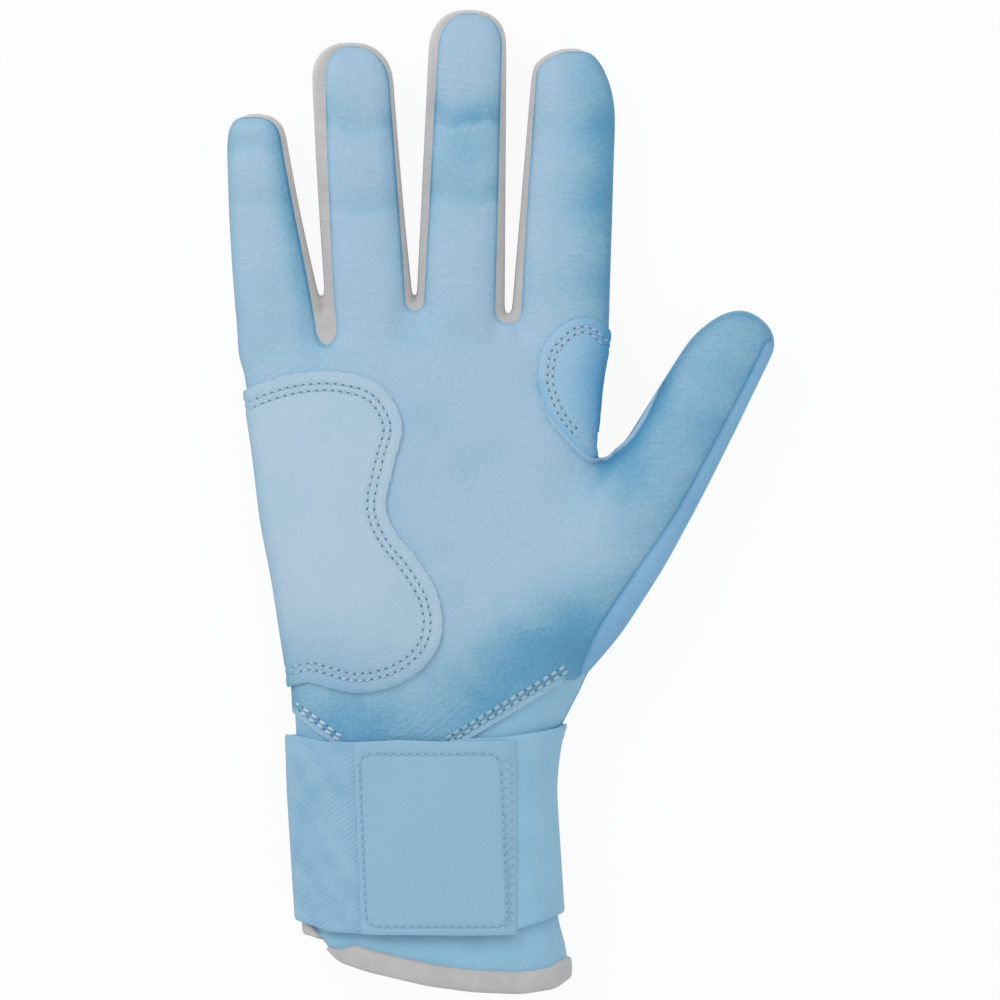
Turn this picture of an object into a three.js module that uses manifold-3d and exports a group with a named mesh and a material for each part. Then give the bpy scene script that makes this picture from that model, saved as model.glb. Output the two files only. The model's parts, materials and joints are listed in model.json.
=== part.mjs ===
// Batting glove for the right hand, lying on its back with the palm up.
// Millimetres. +X points to the thumb, +Y to the fingertips, +Z up out of the palm.
// The panels are cut from one hand form: tubes for the fingers and thumb, joined to a
// sleeve that runs from the cuff to the knuckles. The form is hollow, as worn.
import * as THREE from "three";
import { mergeVertices } from "three/addons/utils/BufferGeometryUtils.js";
import Module from "manifold-3d";

const wasm = await Module();
wasm.setup();

// Sheet thicknesses, from the palm out to the wrist strap.
const leather = 1.0;
const padLeather = 0.9;
const cuffFabric = 1.6;
const bandWebbing = 1.2;
const hookSheet = 0.7;
const elasticWebbing = 2.2;
const tabSheet = 1.4;
const bindingFold = 0.7;

// Clearances: between sewn edges, between stacked sheets, and at a finger crease.
const seamGap = 0.3;
const stackGap = 0.3;
const creaseGap = 0.4;

// Finger row, from the little finger to the index finger. The row starts at the little finger's outer
// side and each finger follows the one before it. Creases and lengths are counted from the root.
const fingerNames = ["pinky", "ring", "middle", "index"];
const bothSides = ["pinky_side", "thumb_side"];
const fingerWalls = [["thumb_side"], bothSides, bothSides, ["pinky_side"]];
const fingerRoots = [102, 109.5, 109.5, 106.2];
const fingerCreases = [32, 24.5, 25, 26.8];
const middleLength = 73.3;
const fingerLengths = [54.8, 65, middleLength, 66.8];
const fingerWidths = [21.9, 20.5, 22.5, 24.9];
const fingerTipWidths = [14.8, 19.6, 19, 20.5];
const fingerDepths = [16.5, 18, 18.5, 18.5];
const fingerTipDepths = [11.5, 13, 13.5, 13.5];
const fingerLeans = [-7, -5.2, 1.6, 2.9];
const fingerDomes = [7, 8, 9, 10];
const rowLeft = -48.2;
const fingerGap = 1.2;
const rowWidth = fingerWidths.reduce((sum, width) => sum + width + fingerGap, -fingerGap);
const rowRight = rowLeft + rowWidth;
const palmSeamShare = 0.66;
const backSeamDrop = 4;
const outerSeamDrop = 2;
const fingerLift = 0.6;
const webReach = 3;
const stubDepth = 20;
const stubInset = 4;

// Thumb, in its own frame: the tip is the origin and the thumb runs down its local -Y.
// A row is y, left, right, bottom, top and the height where the section is pressed flat.
const thumbTip = [79.6, 107.3, 0];
const thumbAngle = THREE.MathUtils.degToRad(28);
const thumbDome = 11;
const thumbCreaseY = -27;
const thumbRootY = -46.5;
const thumbRows = [
  [-106, -30, 5, 4, 24, 2.5],
  [-97, -30, 7.6, 1, 25.5, 1],
  [-86, -28, 10, -0.9, 26, 0],
  [-66, -22, 11.6, -0.6, 26, 0],
  [thumbRootY, -12.8, 11.7, 0.8, 24.5, 0],
  [thumbCreaseY, -11, 11.2, 2.2, 22.5, 0],
  [-12, -9.1, 11, 3.4, 20.5, 0],
  [0, -6.6, 11, 4.5, 19, 0],
];

// Sleeve: cuff, wrist and palm. The cuff's back is raised by the strap that passes under it.
// A row is y, left, right, bottom, top and the height where the section is pressed flat.
const cuffRise = stackGap + bandWebbing;
const flatten = 1.2;
const palmTopY = Math.min(...fingerRoots) - 2;
const palmSlopeLength = 12;
const cuffLength = 63;
const cuffEndY = -cuffLength - 5;
const cuffBottom = cuffRise - flatten;
const sleeveRows = [
  [cuffEndY, -31, 37, cuffBottom, 33, cuffRise],
  [-52, -31.2, 33.6, cuffBottom, 31.5, cuffRise],
  [-45, -31.3, 31.4, cuffBottom, 30.8, cuffRise],
  [-12, -33.4, 30.2, cuffBottom, 28, cuffRise],
  [4, -33.9, 33.4, cuffBottom, 27.5, cuffRise],
  [17, -34.7, 39.6, -flatten, 30, 0],
  [40, -38.5, 45, -flatten, 29.5, 0],
  [70, -42.9, 42.2, -flatten, 25.5, 0],
  [palmTopY - palmSlopeLength, rowLeft + 2.2, rowRight - 2.4, -flatten, 21.5, 0],
  [palmTopY, rowLeft, rowRight, -flatten, 17.6, 0],
];

// Seam heights, and seam lines in the plan view. The palm leather ends in a V over the cuff.
const sideSeamZ = 8;
const thumbSeamZ = 14;
const wristSeamY = -4;
const thumbCrotchY = 74;
const above = 80;
const beyond = 120;
const palmCorner = [37.5, 16.6];
const palmPoint = [-15.2, -13.3];
const palmHeel = [-35.5, 9.3];
const thumbSeam = [palmCorner, [42, 27.5], [52, 42.5], [62.5, 58], [76.5, 84], [84, 99]];
const heelPadEdge = [
  [-56, 81], [-46.3, 87.2], [-34.8, 91.1], [-23, 91.8], [-12.4, 88.4], [-7, 79], [-9.1, 68.6],
  [-11, 58.5], [-8.5, 51.8], [-3.5, 45.6], [1.4, 37.5], [3.1, 29], [0.9, 21.4], [-6.5, 14.9],
  [-17.7, 12.1], [-28.9, 14.6], [-42, 19],
];
const crotchPatchEdge = [
  [52, 101], [44, 103.4], [37.5, 104.6], [30.5, 100.5], [27.2, 91], [29.6, 82], [36, 74],
  [41.6, 69.6], [46, 78],
];
const patchFloorZ = 11;

// Wrist strap, in the plan view. The tab's free end lies on the start of the band.
const strapTopY = 0.4;
const strapBottomY = -48;
const strapLeftRise = 3.6;
const tabLeftX = -17.5;
const tabRightX = 21.2;
const tabOverlap = 5;
const bandStartX = 5;
const bandSlope = 0.12;
const hookMargin = 2;
const tabDroop = 0.8;

// Cuff hem: it starts below the strap on the little finger's side and falls towards the thumb's side.
const bindingWidth = 4.5;
const slitX = -26;
const slitWidth = 0.6;
const hemLeftY = strapBottomY + strapLeftRise - 2 * stackGap - bindingWidth;
const hemEdge = [
  [-44, hemLeftY], [-34, hemLeftY - 0.4], [-28, hemLeftY - 2], [-22, 8 - cuffLength],
  [-10, 3.5 - cuffLength], [10, 0.4 - cuffLength], [28, -cuffLength], [44, 9 - cuffLength],
];

// Facet counts.
const fingerSides = 20;
const sleeveSides = 40;
const patchChords = 52;
const hemChords = 24;
const squareness = 2.5;
const domeAngles = [90, 66, 43, 22, 8].map(THREE.MathUtils.degToRad);

// Colours and finishes.
const finish = (color, roughness) => new THREE.MeshStandardMaterial({ color, roughness, metalness: 0 });
const palmLeather = finish("#8fb9d8", 0.55);
const backLeather = finish("#84b3d2", 0.6);
const padFinish = finish("#a5c6de", 0.6);
const stretchFabric = finish("#c2c2c4", 0.85);
const cuffFinish = finish("#88b6d4", 0.8);
const webbingFinish = finish("#8eb8d4", 0.85);
const tabFinish = finish("#87b4d0", 0.65);
const hookFinish = finish("#7fa9c4", 0.9);

// Solids from three.js geometry, and named meshes from solids.
function solidOf(geometry) {
  geometry.deleteAttribute("normal");
  geometry.deleteAttribute("uv");
  const merged = mergeVertices(geometry, 1e-4);
  const vertProperties = merged.attributes.position.array;
  const triVerts = new Uint32Array(merged.index.array);
  return new wasm.Manifold(new wasm.Mesh({ numProp: 3, vertProperties, triVerts }));
}

function meshOf(name, solid, material) {
  const { vertProperties, triVerts } = solid.getMesh();
  const geometry = new THREE.BufferGeometry();
  geometry.setAttribute("position", new THREE.BufferAttribute(vertProperties, 3));
  geometry.setIndex(new THREE.BufferAttribute(triVerts, 1));
  geometry.computeVertexNormals();
  const mesh = new THREE.Mesh(geometry, material);
  mesh.name = name;
  return mesh;
}

const joined = (solids) => solids.reduce((sum, solid) => sum.add(solid));

// A block between two corners, and a prism over an outline in the plan view.
function block(x0, x1, y0, y1, z0, z1) {
  const box = new THREE.BoxGeometry(x1 - x0, y1 - y0, z1 - z0);
  return solidOf(box.translate((x0 + x1) / 2, (y0 + y1) / 2, (z0 + z1) / 2));
}

function prism(points, z0, z1) {
  const outline = new THREE.Shape(points.map(([x, y]) => new THREE.Vector2(x, y)));
  const geometry = new THREE.ExtrudeGeometry(outline, { depth: z1 - z0, bevelEnabled: false });
  return solidOf(geometry.translate(0, 0, z0));
}

// A block whose lower and upper faces slope along y. Each height is given at y0 and at y1.
function wedge(x0, x1, y0, y1, low, high) {
  const side = [[y0, low[0]], [y1, low[1]], [y1, high[1]], [y0, high[0]]];
  const turn = new THREE.Matrix4().makeBasis(
    new THREE.Vector3(0, 1, 0), new THREE.Vector3(0, 0, 1), new THREE.Vector3(1, 0, 0));
  return prism(side, x0, x1).transform(turn.elements);
}

// A smooth curve through a few points, as a run of short chords.
function smooth(points, closed, chords) {
  const curve = new THREE.CatmullRomCurve3(
    points.map(([x, y]) => new THREE.Vector3(x, y, 0)), closed, "centripetal");
  const run = curve.getSpacedPoints(chords).map(({ x, y }) => [x, y]);
  return closed ? run.slice(0, -1) : run;
}

// One cross-section: a rounded rectangle that is pressed flat where it lies on the table.
function ring({ left, right, bottom, top, flat }, y, sides) {
  const power = 2 / squareness;
  const bend = (value) => Math.sign(value) * Math.abs(value) ** power;
  return Array.from({ length: sides }, (_, i) => {
    const angle = ((i + 0.5) / sides) * 2 * Math.PI;
    const x = (left + right) / 2 + ((right - left) / 2) * bend(Math.cos(angle));
    const z = (bottom + top) / 2 + ((top - bottom) / 2) * bend(Math.sin(angle));
    return new THREE.Vector3(x, y, Math.max(z, flat));
  });
}

// A closed skin through rings that have the same number of points.
function loft(rings) {
  const sides = rings[0].length;
  const middle = (points) => points.reduce((sum, p) => sum.add(p), new THREE.Vector3()).divideScalar(sides);
  const points = [...rings.flat(), middle(rings[0]), middle(rings.at(-1))];
  const index = [];
  const first = rings.length * sides;
  const lastRing = (rings.length - 1) * sides;
  for (let i = 0; i < sides; i++) {
    const j = (i + 1) % sides;
    for (let row = 0; row < lastRing; row += sides) {
      index.push(row + i, row + sides + i, row + j, row + j, row + sides + i, row + sides + j);
    }
    index.push(first, i, j, first + 1, lastRing + j, lastRing + i);
  }
  const geometry = new THREE.BufferGeometry().setFromPoints(points);
  geometry.setIndex(index);
  return solidOf(geometry);
}

// A tube along Y between two limits, through the stations of a profile that lie between them.
function tube(profile, from, to, grow, sides) {
  const margin = 0.5;
  const between = profile.keys(grow).filter((y) => y > from + margin && y < to - margin);
  return loft([from, ...between, to].map((y) => ring(profile.at(y, grow), y, sides)));
}

// The size of a cross-section at y, straight between rows and grown outwards.
function interpolate(rows, y, grow) {
  const last = rows.length - 1;
  const found = rows.findIndex((row) => row[0] > y);
  const next = Math.min(Math.max(found < 0 ? last : found, 1), last);
  const [a, b] = [rows[next - 1], rows[next]];
  const [left, right, bottom, top, flat] = a.slice(1).map(
    (value, i) => THREE.MathUtils.mapLinear(y, a[0], b[0], value, b[i + 1]));
  return {
    left: left - grow, right: right + grow, bottom: bottom - grow, top: top + grow, flat: flat - grow,
  };
}

// Draws a section in towards its own middle near a rounded tip.
function domed(section, tipY, dome, y) {
  const along = Math.min(Math.max((tipY - y) / dome, 0), 1);
  const share = Math.sqrt(1 - (1 - along) ** 2);
  const pull = (a, b) => [(a + b) / 2 - ((b - a) / 2) * share, (a + b) / 2 + ((b - a) / 2) * share];
  const [left, right] = pull(section.left, section.right);
  const [bottom, top] = pull(section.bottom, section.top);
  return { left, right, bottom, top, flat: section.flat };
}

function domedProfile(rows, tipY, dome) {
  const tip = (grow) => tipY + grow;
  return {
    tip,
    end: (grow) => tip(grow) - dome * (1 - Math.cos(domeAngles.at(-1))),
    at: (y, grow) => domed(interpolate(rows, y, grow), tip(grow), dome, y),
    keys: (grow) => [
      ...rows.map(([y]) => y),
      ...domeAngles.slice(0, -1).map((angle) => tip(grow) - dome * (1 - Math.cos(angle))),
    ].filter((y) => y < tip(grow)).sort((a, b) => a - b),
  };
}

const sleeve = {
  at: (y, grow) => interpolate(sleeveRows, y, grow),
  keys: () => sleeveRows.map(([y]) => y),
};
const thumb = domedProfile(thumbRows, 0, thumbDome);
const thumbPlace = new THREE.Matrix4()
  .makeTranslation(...thumbTip)
  .multiply(new THREE.Matrix4().makeRotationZ(-thumbAngle));
const placedThumb = (solid) => solid.transform(thumbPlace.elements);

// Each finger's own profile, with its root beside the finger before it.
let nextLeft = rowLeft;
const fingers = fingerNames.map((name, i) => {
  const rootY = fingerRoots[i];
  const rootX = nextLeft + fingerWidths[i] / 2;
  nextLeft += fingerWidths[i] + fingerGap;
  const middleZ = fingerDepths[i] / 2 - fingerLift;
  const row = (y, x, width, depth) => [
    y, x - width / 2, x + width / 2, middleZ - depth / 2, middleZ + depth / 2, 0,
  ];
  const rootRow = (y) => row(y, rootX, fingerWidths[i], fingerDepths[i]);
  const insets = bothSides.map((side) => (fingerWalls[i].includes(side) ? 0 : stubInset));
  const stubRow = rootRow(rootY - stubDepth);
  stubRow[1] += insets[0];
  stubRow[2] -= insets[1];
  const tipY = rootY + fingerLengths[i];
  const tipRow = row(tipY, rootX + fingerLeans[i], fingerTipWidths[i], fingerTipDepths[i]);
  return {
    name, rootX, rootY, tipY, middleZ, walls: fingerWalls[i], dome: fingerDomes[i],
    halfDepth: (y) => THREE.MathUtils.mapLinear(y, rootY, tipY, fingerDepths[i], fingerTipDepths[i]) / 2,
    left: rootX - fingerWidths[i] / 2, depth: fingerDepths[i], creaseY: rootY + fingerCreases[i],
    profile: domedProfile([rootRow(rootY), tipRow], tipY, fingerDomes[i]),
    stub: {
      at: (y, grow) => interpolate([stubRow, rootRow(rootY)], y, grow),
      keys: () => [],
    },
  };
});

// The whole hand without the loose fingers, as a solid form that is grown outwards.
// The open ends of an inner form run past those of the outer form.
function handForm(grow) {
  const past = grow < 0 ? creaseGap : 0;
  const stubs = fingers.map((finger) => tube(
    finger.stub, finger.rootY - stubDepth, finger.rootY - creaseGap / 2 + past, grow, fingerSides));
  const thumbBase = placedThumb(tube(
    thumb, thumbRows[0][0], thumbRootY - creaseGap / 2 + past, grow, fingerSides));
  return joined([tube(sleeve, cuffEndY - past, palmTopY + grow, grow, sleeveSides), thumbBase, ...stubs]);
}

const handOuter = handForm(0);
const handShell = handOuter.subtract(handForm(-leather));
const sleeveForm = (grow) => tube(sleeve, cuffEndY + Math.min(grow, 0), palmTopY / 3, grow, sleeveSides);

// A sheet that lies on the form between two heights above its surface.
const sheetOn = (form, low, high) => form(high).subtract(form(low));

// The front of the glove in the plan view, down to the side seams, and the part of it above the V.
const frontOutline = [
  [-beyond, -beyond], [beyond, -beyond], [beyond, -beyond / 2], ...thumbSeam,
  [beyond, thumbSeam.at(-1)[1]], [beyond, 2 * beyond], [-beyond, 2 * beyond],
];
const fingerSide = block(-beyond, 0, -beyond, 2 * beyond, -above, above)
  .add(block(-1, rowRight + fingerGap, thumbCrotchY, 2 * beyond, -above, above));
function frontRegion(lift, shift) {
  const low = prism(frontOutline, sideSeamZ + lift, above).intersect(fingerSide);
  return low.add(prism(frontOutline, thumbSeamZ + lift, above)).translate([0, shift, 0]);
}
const palmRegion = prism([
  [-beyond, palmHeel[1]], palmHeel, palmPoint, palmCorner, [beyond, palmCorner[1]],
  [beyond, 2 * beyond], [-beyond, 2 * beyond],
], -above, above);
const seamShift = 1.4 * seamGap;
const aboveWrist = block(-beyond, beyond, wristSeamY + seamGap, 2 * beyond, -above, above);
const belowWrist = block(-beyond, beyond, -beyond, wristSeamY, -above, above);
const frontForPalm = frontRegion(0, seamShift);
const frontCleared = frontRegion(-seamGap, 0);

function bodyGroup(name) {
  const group = new THREE.Group();
  group.name = name;
  return group;
}

// Palm and back of the hand.
const hand = bodyGroup("hand");
const palmCut = frontForPalm.intersect(palmRegion.translate([0, seamShift, 0]));
hand.add(
  meshOf("palm_panel", handShell.intersect(palmCut), palmLeather),
  meshOf("back_panel", handShell.intersect(aboveWrist).subtract(frontCleared), backLeather),
);

// Patches sewn on the palm: the heel pad, and the crescent at the root of the index finger.
function patch(name, edge, material) {
  const outline = prism(smooth(edge, true, patchChords), patchFloorZ, above);
  const sheet = sheetOn(handForm, stackGap, stackGap + padLeather);
  hand.add(meshOf(name, sheet.intersect(outline), material));
}
patch("heel_pad", heelPadEdge, padFinish);
patch("crotch_patch", crotchPatchEdge, padFinish);

// Webs of the finger sidewalls, which fill the gaps between the finger roots.
fingers.slice(1).forEach((finger, i) => {
  const before = fingers[i];
  const x = finger.left - fingerGap / 2;
  const top = Math.min(finger.rootY, before.rootY) - creaseGap;
  const depth = Math.min(finger.depth, before.depth);
  const web = block(x - webReach, x + webReach, palmTopY - webReach, top, webReach / 2, depth - webReach)
    .subtract(handForm(seamGap / 2));
  hand.add(meshOf(`web_${before.name}_${finger.name}`, web, stretchFabric));
});

// Cuff: a front flap and a back that wraps round the little finger's side, with a bound hem.
const hem = smooth(hemEdge, false, hemChords);
const hemRegion = (shift) => prism([...hem, [beyond, beyond], [-beyond, beyond]], -above, above)
  .translate([0, shift, 0]);
const cuffShell = sleeveForm(0).subtract(sleeveForm(-cuffFabric));
const flapSide = block(slitX + slitWidth, beyond, -beyond, beyond, -above, above);
const backSide = block(-beyond, slitX, -beyond, beyond, -above, above);
const cuffCut = cuffShell.intersect(hemRegion(bindingWidth + seamGap));
const cuffFront = (lift) => frontRegion(lift, -seamShift).intersect(frontRegion(lift, 0))
  .subtract(palmRegion);
const flapRegion = cuffFront(0).intersect(flapSide);
const wrapRegion = cuffFront(0).intersect(backSide);
const wrapSeam = cuffFront(-2 * seamGap).intersect(backSide).intersect(belowWrist);
const cuffBack = belowWrist.subtract(frontCleared).add(wrapRegion).add(wrapSeam);
hand.add(
  meshOf("cuff_flap", cuffCut.intersect(flapRegion), cuffFinish),
  meshOf("cuff_back", cuffCut.intersect(cuffBack), cuffFinish),
);
const bound = sheetOn(sleeveForm, -cuffFabric - bindingFold, bindingFold);
const slit = block(slitX, slitX + slitWidth, -beyond, beyond, sideSeamZ, above);
hand.add(meshOf("hem_binding",
  bound.intersect(hemRegion(0)).subtract(hemRegion(bindingWidth)).subtract(slit), stretchFabric));

// Wrist strap. The band is sewn round the back; the strap swings open from the little finger's side.
const strapHingeZ = (sleeve.at(strapTopY, 0).top + cuffRise) / 2;
const rise = (x) => Math.max(x - bandStartX, 0) * bandSlope;
const strapLeftEnd = [
  [tabLeftX, strapBottomY], [sleeve.at(strapBottomY, 0).left, strapBottomY + strapLeftRise],
  [-beyond, strapBottomY + strapLeftRise],
];
const bandOutline = [
  [-beyond, strapTopY], [bandStartX, strapTopY], [beyond, strapTopY + rise(beyond)],
  [beyond, strapBottomY + rise(beyond)], [bandStartX, strapBottomY], ...strapLeftEnd,
];
const strapOutline = [
  [-beyond, strapTopY], [tabRightX, strapTopY - tabDroop], [tabRightX, strapBottomY - tabDroop / 2],
  ...strapLeftEnd,
];
const overCuff = block(-beyond, bandStartX, -beyond, beyond, strapHingeZ - seamGap, above);
const bandSheet = sheetOn(sleeveForm, stackGap, stackGap + bandWebbing);
const bandCut = prism(bandOutline, -above, above).subtract(overCuff);
hand.add(meshOf("strap_band", bandSheet.intersect(bandCut), webbingFinish));

const strap = bodyGroup("strap");
const hookLow = 2 * stackGap + bandWebbing;
const tabLow = Math.max(hookLow + hookSheet, elasticWebbing + stackGap) + stackGap;
const strapCut = (x0, x1) => prism(strapOutline, strapHingeZ, above)
  .intersect(block(x0, x1, -beyond, beyond, strapHingeZ, above));
const strapSheet = (name, low, thickness, x0, x1, material) => strap.add(
  meshOf(name, sheetOn(sleeveForm, low, low + thickness).intersect(strapCut(x0, x1)), material));
strapSheet("strap_elastic", stackGap, elasticWebbing, -beyond, tabLeftX + tabOverlap, webbingFinish);
strapSheet("strap_tab", tabLow, tabSheet, tabLeftX, tabRightX, tabFinish);
strapSheet("hook_patch", hookLow, hookSheet, bandStartX, tabRightX - hookMargin, hookFinish);

// Cuts one length of a finger into palm side, back and sidewalls.
function fingerPieces(finger, part, from, to, closedTip) {
  const { profile, middleZ } = finger;
  const ends = (grow) => [from - (grow < 0 ? 1 : 0), closedTip ? profile.end(grow) : to + (grow < 0 ? 1 : 0)];
  const form = (grow) => tube(profile, ...ends(grow), grow, fingerSides);
  const shell = form(0).subtract(form(-leather));
  const section = profile.at((from + Math.min(to, finger.tipY - finger.dome)) / 2, 0);
  const splitX = (section.left + section.right) / 2;
  const paired = finger.walls.length === 2;
  const run = [from - 1, to + 1];
  const level = (z) => [z, z];
  const zones = bothSides.map((side) => {
    const walled = finger.walls.includes(side);
    const palmSeam = run.map((y) => middleZ + seamGap / 2
      + (walled ? palmSeamShare * finger.halfDepth(y) : -outerSeamDrop));
    const backSeam = middleZ - (walled ? backSeamDrop : outerSeamDrop) - seamGap / 2;
    const zone = (past, low, high) => (side === "pinky_side"
      ? wedge(-beyond, splitX + past, ...run, low, high)
      : wedge(splitX - past, beyond, ...run, low, high));
    const wallTop = palmSeam.map((z) => z - seamGap);
    const wall = walled && zone(paired ? seamGap : -2 * seamGap, level(backSeam + seamGap), wallTop);
    const front = zone(seamGap, palmSeam, level(above));
    return { side, wall, front, back: zone(seamGap, level(-above), level(backSeam)) };
  });
  const body = bodyGroup(`${finger.name}_${part}`);
  const cut = (region) => shell.intersect(region);
  body.add(
    meshOf(`${body.name}_palm`, cut(joined(zones.map((zone) => zone.front))), palmLeather),
    meshOf(`${body.name}_back`, cut(joined(zones.map((zone) => zone.back))), backLeather),
  );
  const walls = zones.filter((zone) => zone.wall);
  if (closedTip) {
    body.add(meshOf(`${body.name}_sidewall`, cut(joined(walls.map((zone) => zone.wall))), stretchFabric));
  } else {
    walls.forEach(({ side, wall }) => body.add(
      meshOf(`${body.name}_sidewall_${side}`, cut(wall), stretchFabric)));
  }
  return body;
}

// Thumb lengths, with the palm leather running up to the seam along the thumb's outer edge.
function thumbPieces(part, from, to, closedTip) {
  const ends = (grow) => [from - (grow < 0 ? 1 : 0), closedTip ? thumb.end(grow) : to + (grow < 0 ? 1 : 0)];
  const form = (grow) => placedThumb(tube(thumb, ...ends(grow), grow, fingerSides));
  const shell = form(0).subtract(form(-leather));
  const body = bodyGroup(`thumb_${part}`);
  body.add(
    meshOf(`${body.name}_palm`, shell.intersect(frontForPalm), palmLeather),
    meshOf(`${body.name}_back`, shell.subtract(frontCleared), backLeather),
  );
  return body;
}

const half = creaseGap / 2;
const bodies = [hand, strap];
for (const finger of fingers) {
  bodies.push(fingerPieces(finger, "base", finger.rootY + half, finger.creaseY - half, false));
  bodies.push(fingerPieces(finger, "tip", finger.creaseY + half, finger.tipY, true));
}
bodies.push(thumbPieces("base", thumbRootY + half, thumbCreaseY - half, false));
bodies.push(thumbPieces("tip", thumbCreaseY + half, 0, true));

// The glove, moved so that the middle of its box is over the origin and its back is on z = 0.
const glove = new THREE.Group();
glove.add(...bodies);
const bounds = new THREE.Box3().setFromObject(glove);
const centre = bounds.getCenter(new THREE.Vector3());
glove.position.set(-centre.x, -centre.y, -bounds.min.z);
export default glove;
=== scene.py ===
import json
import math
import bmesh
import bpy
import numpy as np
from mathutils import Matrix, Vector
from mathutils.bvhtree import BVHTree


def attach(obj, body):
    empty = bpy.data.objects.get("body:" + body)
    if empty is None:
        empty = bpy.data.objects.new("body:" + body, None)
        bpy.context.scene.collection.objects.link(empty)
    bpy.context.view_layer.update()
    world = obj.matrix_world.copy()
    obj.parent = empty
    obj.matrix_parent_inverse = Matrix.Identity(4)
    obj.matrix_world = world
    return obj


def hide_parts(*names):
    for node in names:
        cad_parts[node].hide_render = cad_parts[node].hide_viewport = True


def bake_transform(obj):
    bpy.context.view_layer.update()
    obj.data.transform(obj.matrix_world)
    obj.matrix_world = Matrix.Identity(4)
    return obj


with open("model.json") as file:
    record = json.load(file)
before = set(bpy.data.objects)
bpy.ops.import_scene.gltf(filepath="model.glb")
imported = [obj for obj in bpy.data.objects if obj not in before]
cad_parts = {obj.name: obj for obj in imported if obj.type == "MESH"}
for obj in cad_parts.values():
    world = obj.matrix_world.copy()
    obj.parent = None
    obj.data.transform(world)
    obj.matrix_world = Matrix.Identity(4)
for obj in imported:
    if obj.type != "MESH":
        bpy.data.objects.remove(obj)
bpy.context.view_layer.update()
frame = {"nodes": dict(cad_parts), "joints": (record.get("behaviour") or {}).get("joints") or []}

# Everything is shaped in hand millimetres: x to the thumb, y to the fingertips, z up out of the palm.
joints = {joint["name"]: joint for joint in frame["joints"]}
middleRoot = (7.85, 109.5)  # the middle finger's root in hand millimetres
handShift = [1000 * joints["middle_knuckle"]["pos_m"][i] - middleRoot[i] for i in (0, 1)] + [0]
toRow = Matrix.Scale(0.001, 4) @ Matrix.Translation(handShift)


def handPoint(jointName):
    return [1000 * c - s for c, s in zip(joints[jointName]["pos_m"], handShift)]


def rowPoint(x, y, z):
    return tuple(toRow @ Vector((x, y, z)))


def smoothStep(value, low, high):
    t = np.clip((value - low) / (high - low), 0, 1)
    return t * t * (3 - 2 * t)


def bell(value, width):
    return np.exp(-(value / width) ** 2)


def valuesOf(items, name, width, kind=np.float32):
    values = np.zeros(len(items) * width, kind)
    items.foreach_get(name, values)
    return values.reshape(-1, width)


# Hand form: a sleeve, a thumb and four fingers, each a row of rounded sections.
# A row is y, left, right, bottom, top and the height where the section is pressed flat.
sleeveSize = {
    "rows": [
        [-68, -31, 34.8, 0.3, 33, 1.5], [-52, -31.2, 34.8, 0.3, 31.5, 1.5],
        [-45, -31.3, 32.3, 0.3, 30.8, 1.5], [-12, -33.4, 30.2, 0.3, 28, 1.5],
        [-5, -33.6, 30.8, 0.3, 27.8, 1.5],
        [2.5, -33.9, 32, 0.3, 27.5, 1.5], [6, -34.1, 34.2, 0.1, 27.9, 1.3], [17, -34.7, 39.8, -1.2, 30, 0],
        [40, -38.6, 45, -1.2, 29.5, 0], [55, -41.6, 44.5, -1.2, 27.6, 0], [70, -43.3, 41.6, -1.2, 25.5, 0],
        [88, -46, 42.6, -1.2, 21.5, 0], [100, -48.2, 45.2, -1.2, 17.6, 0],
    ],
    "ease": 2.5,
}
thumbSize = {
    "tip": (79.6, 107.3), "angle": math.radians(28), "domes": (16.5, 7.2), "power": 2.2,
    "side": -15.5, "clearX": 40, "near": -60, "sewnFrom": -56,  # where a point counts as on the thumb
    "rows": [
        [-106, -30, 5, 4, 24, 2.5], [-97, -30, 7.6, 1, 25.5, 1], [-86, -28, 10, -0.9, 26, 0],
        [-66, -22, 11.6, -0.6, 26, 0], [-46.5, -12.2, 11.7, 0.8, 24.5, 0], [-27, -10.8, 11.2, 2.2, 22.5, 0],
        [-12, -9.6, 10.6, 3.4, 20.5, 0], [0, -7.6, 10.3, 4.5, 19, 0],
    ],
    "ease": 3,
}
# Widths and depths are at the root and the tip, domes are the rounding of the tip on the little finger's
# side and the thumb's side. Walls give how much of the grey sidewall shows from above at the root and the
# tip, and how fast it changes. A crease is its height along the hand and its depth. The left and right
# sides get painted shade: how dark each is, and from where across the finger.
fingerSize = {
    "pinky": {"tip": 156.8, "shift": 0.3, "lean": -7, "bow": -0.6, "widths": (22.7, 14),
              "depths": (16.5, 11.5), "domes": (8, 6), "power": 2.5, "walls": {"thumb": (2.6, 1.1, 5)},
              "rim": 0.7, "creases": ((134.6, 0.4), (148, 0.5)), "shaded": ((0.1, 0.5), (0.6, 0.05))},
    "ring": {"tip": 174.7, "shift": -0.4, "lean": -4.6, "bow": -0.3, "widths": (22, 20.2),
             "depths": (18, 13), "domes": (9.3, 10), "power": 2.2,
             "walls": {"pinky": (2.05, 3.4, 1), "thumb": (1.55, 0.75, 4)},
             "rim": 0.9, "creases": ((132.4, 0.6), (153.4, 0.8)), "shaded": ((0.08, 0.6), (0.28, 0.4))},
    "middle": {"tip": 182.8, "shift": -0.2, "lean": 2, "bow": 0, "widths": (22.1, 19.2),
               "depths": (18.5, 13.5), "domes": (10, 9), "power": 2.3,
               "walls": {"pinky": (1.6, 2.3, 0.7), "thumb": (2.1, 0.75, 1)},
               "rim": 0.8, "creases": ((135.2, 0.7), (155.2, 1.3)), "shaded": ((0.14, 0.4), (0.24, 0.4))},
    "index": {"tip": 173.2, "shift": -0.15, "lean": 3.8, "bow": 0, "widths": (24.5, 21),
              "depths": (18.5, 13.5), "domes": (6.5, 19), "power": 2, "walls": {"pinky": (2.1, 0.95, 2)},
              "rim": 0.7, "creases": ((133, 0.3), (152, 0.35)), "shaded": ((0, 0.5), (0.58, -0.7))},
}
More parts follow.
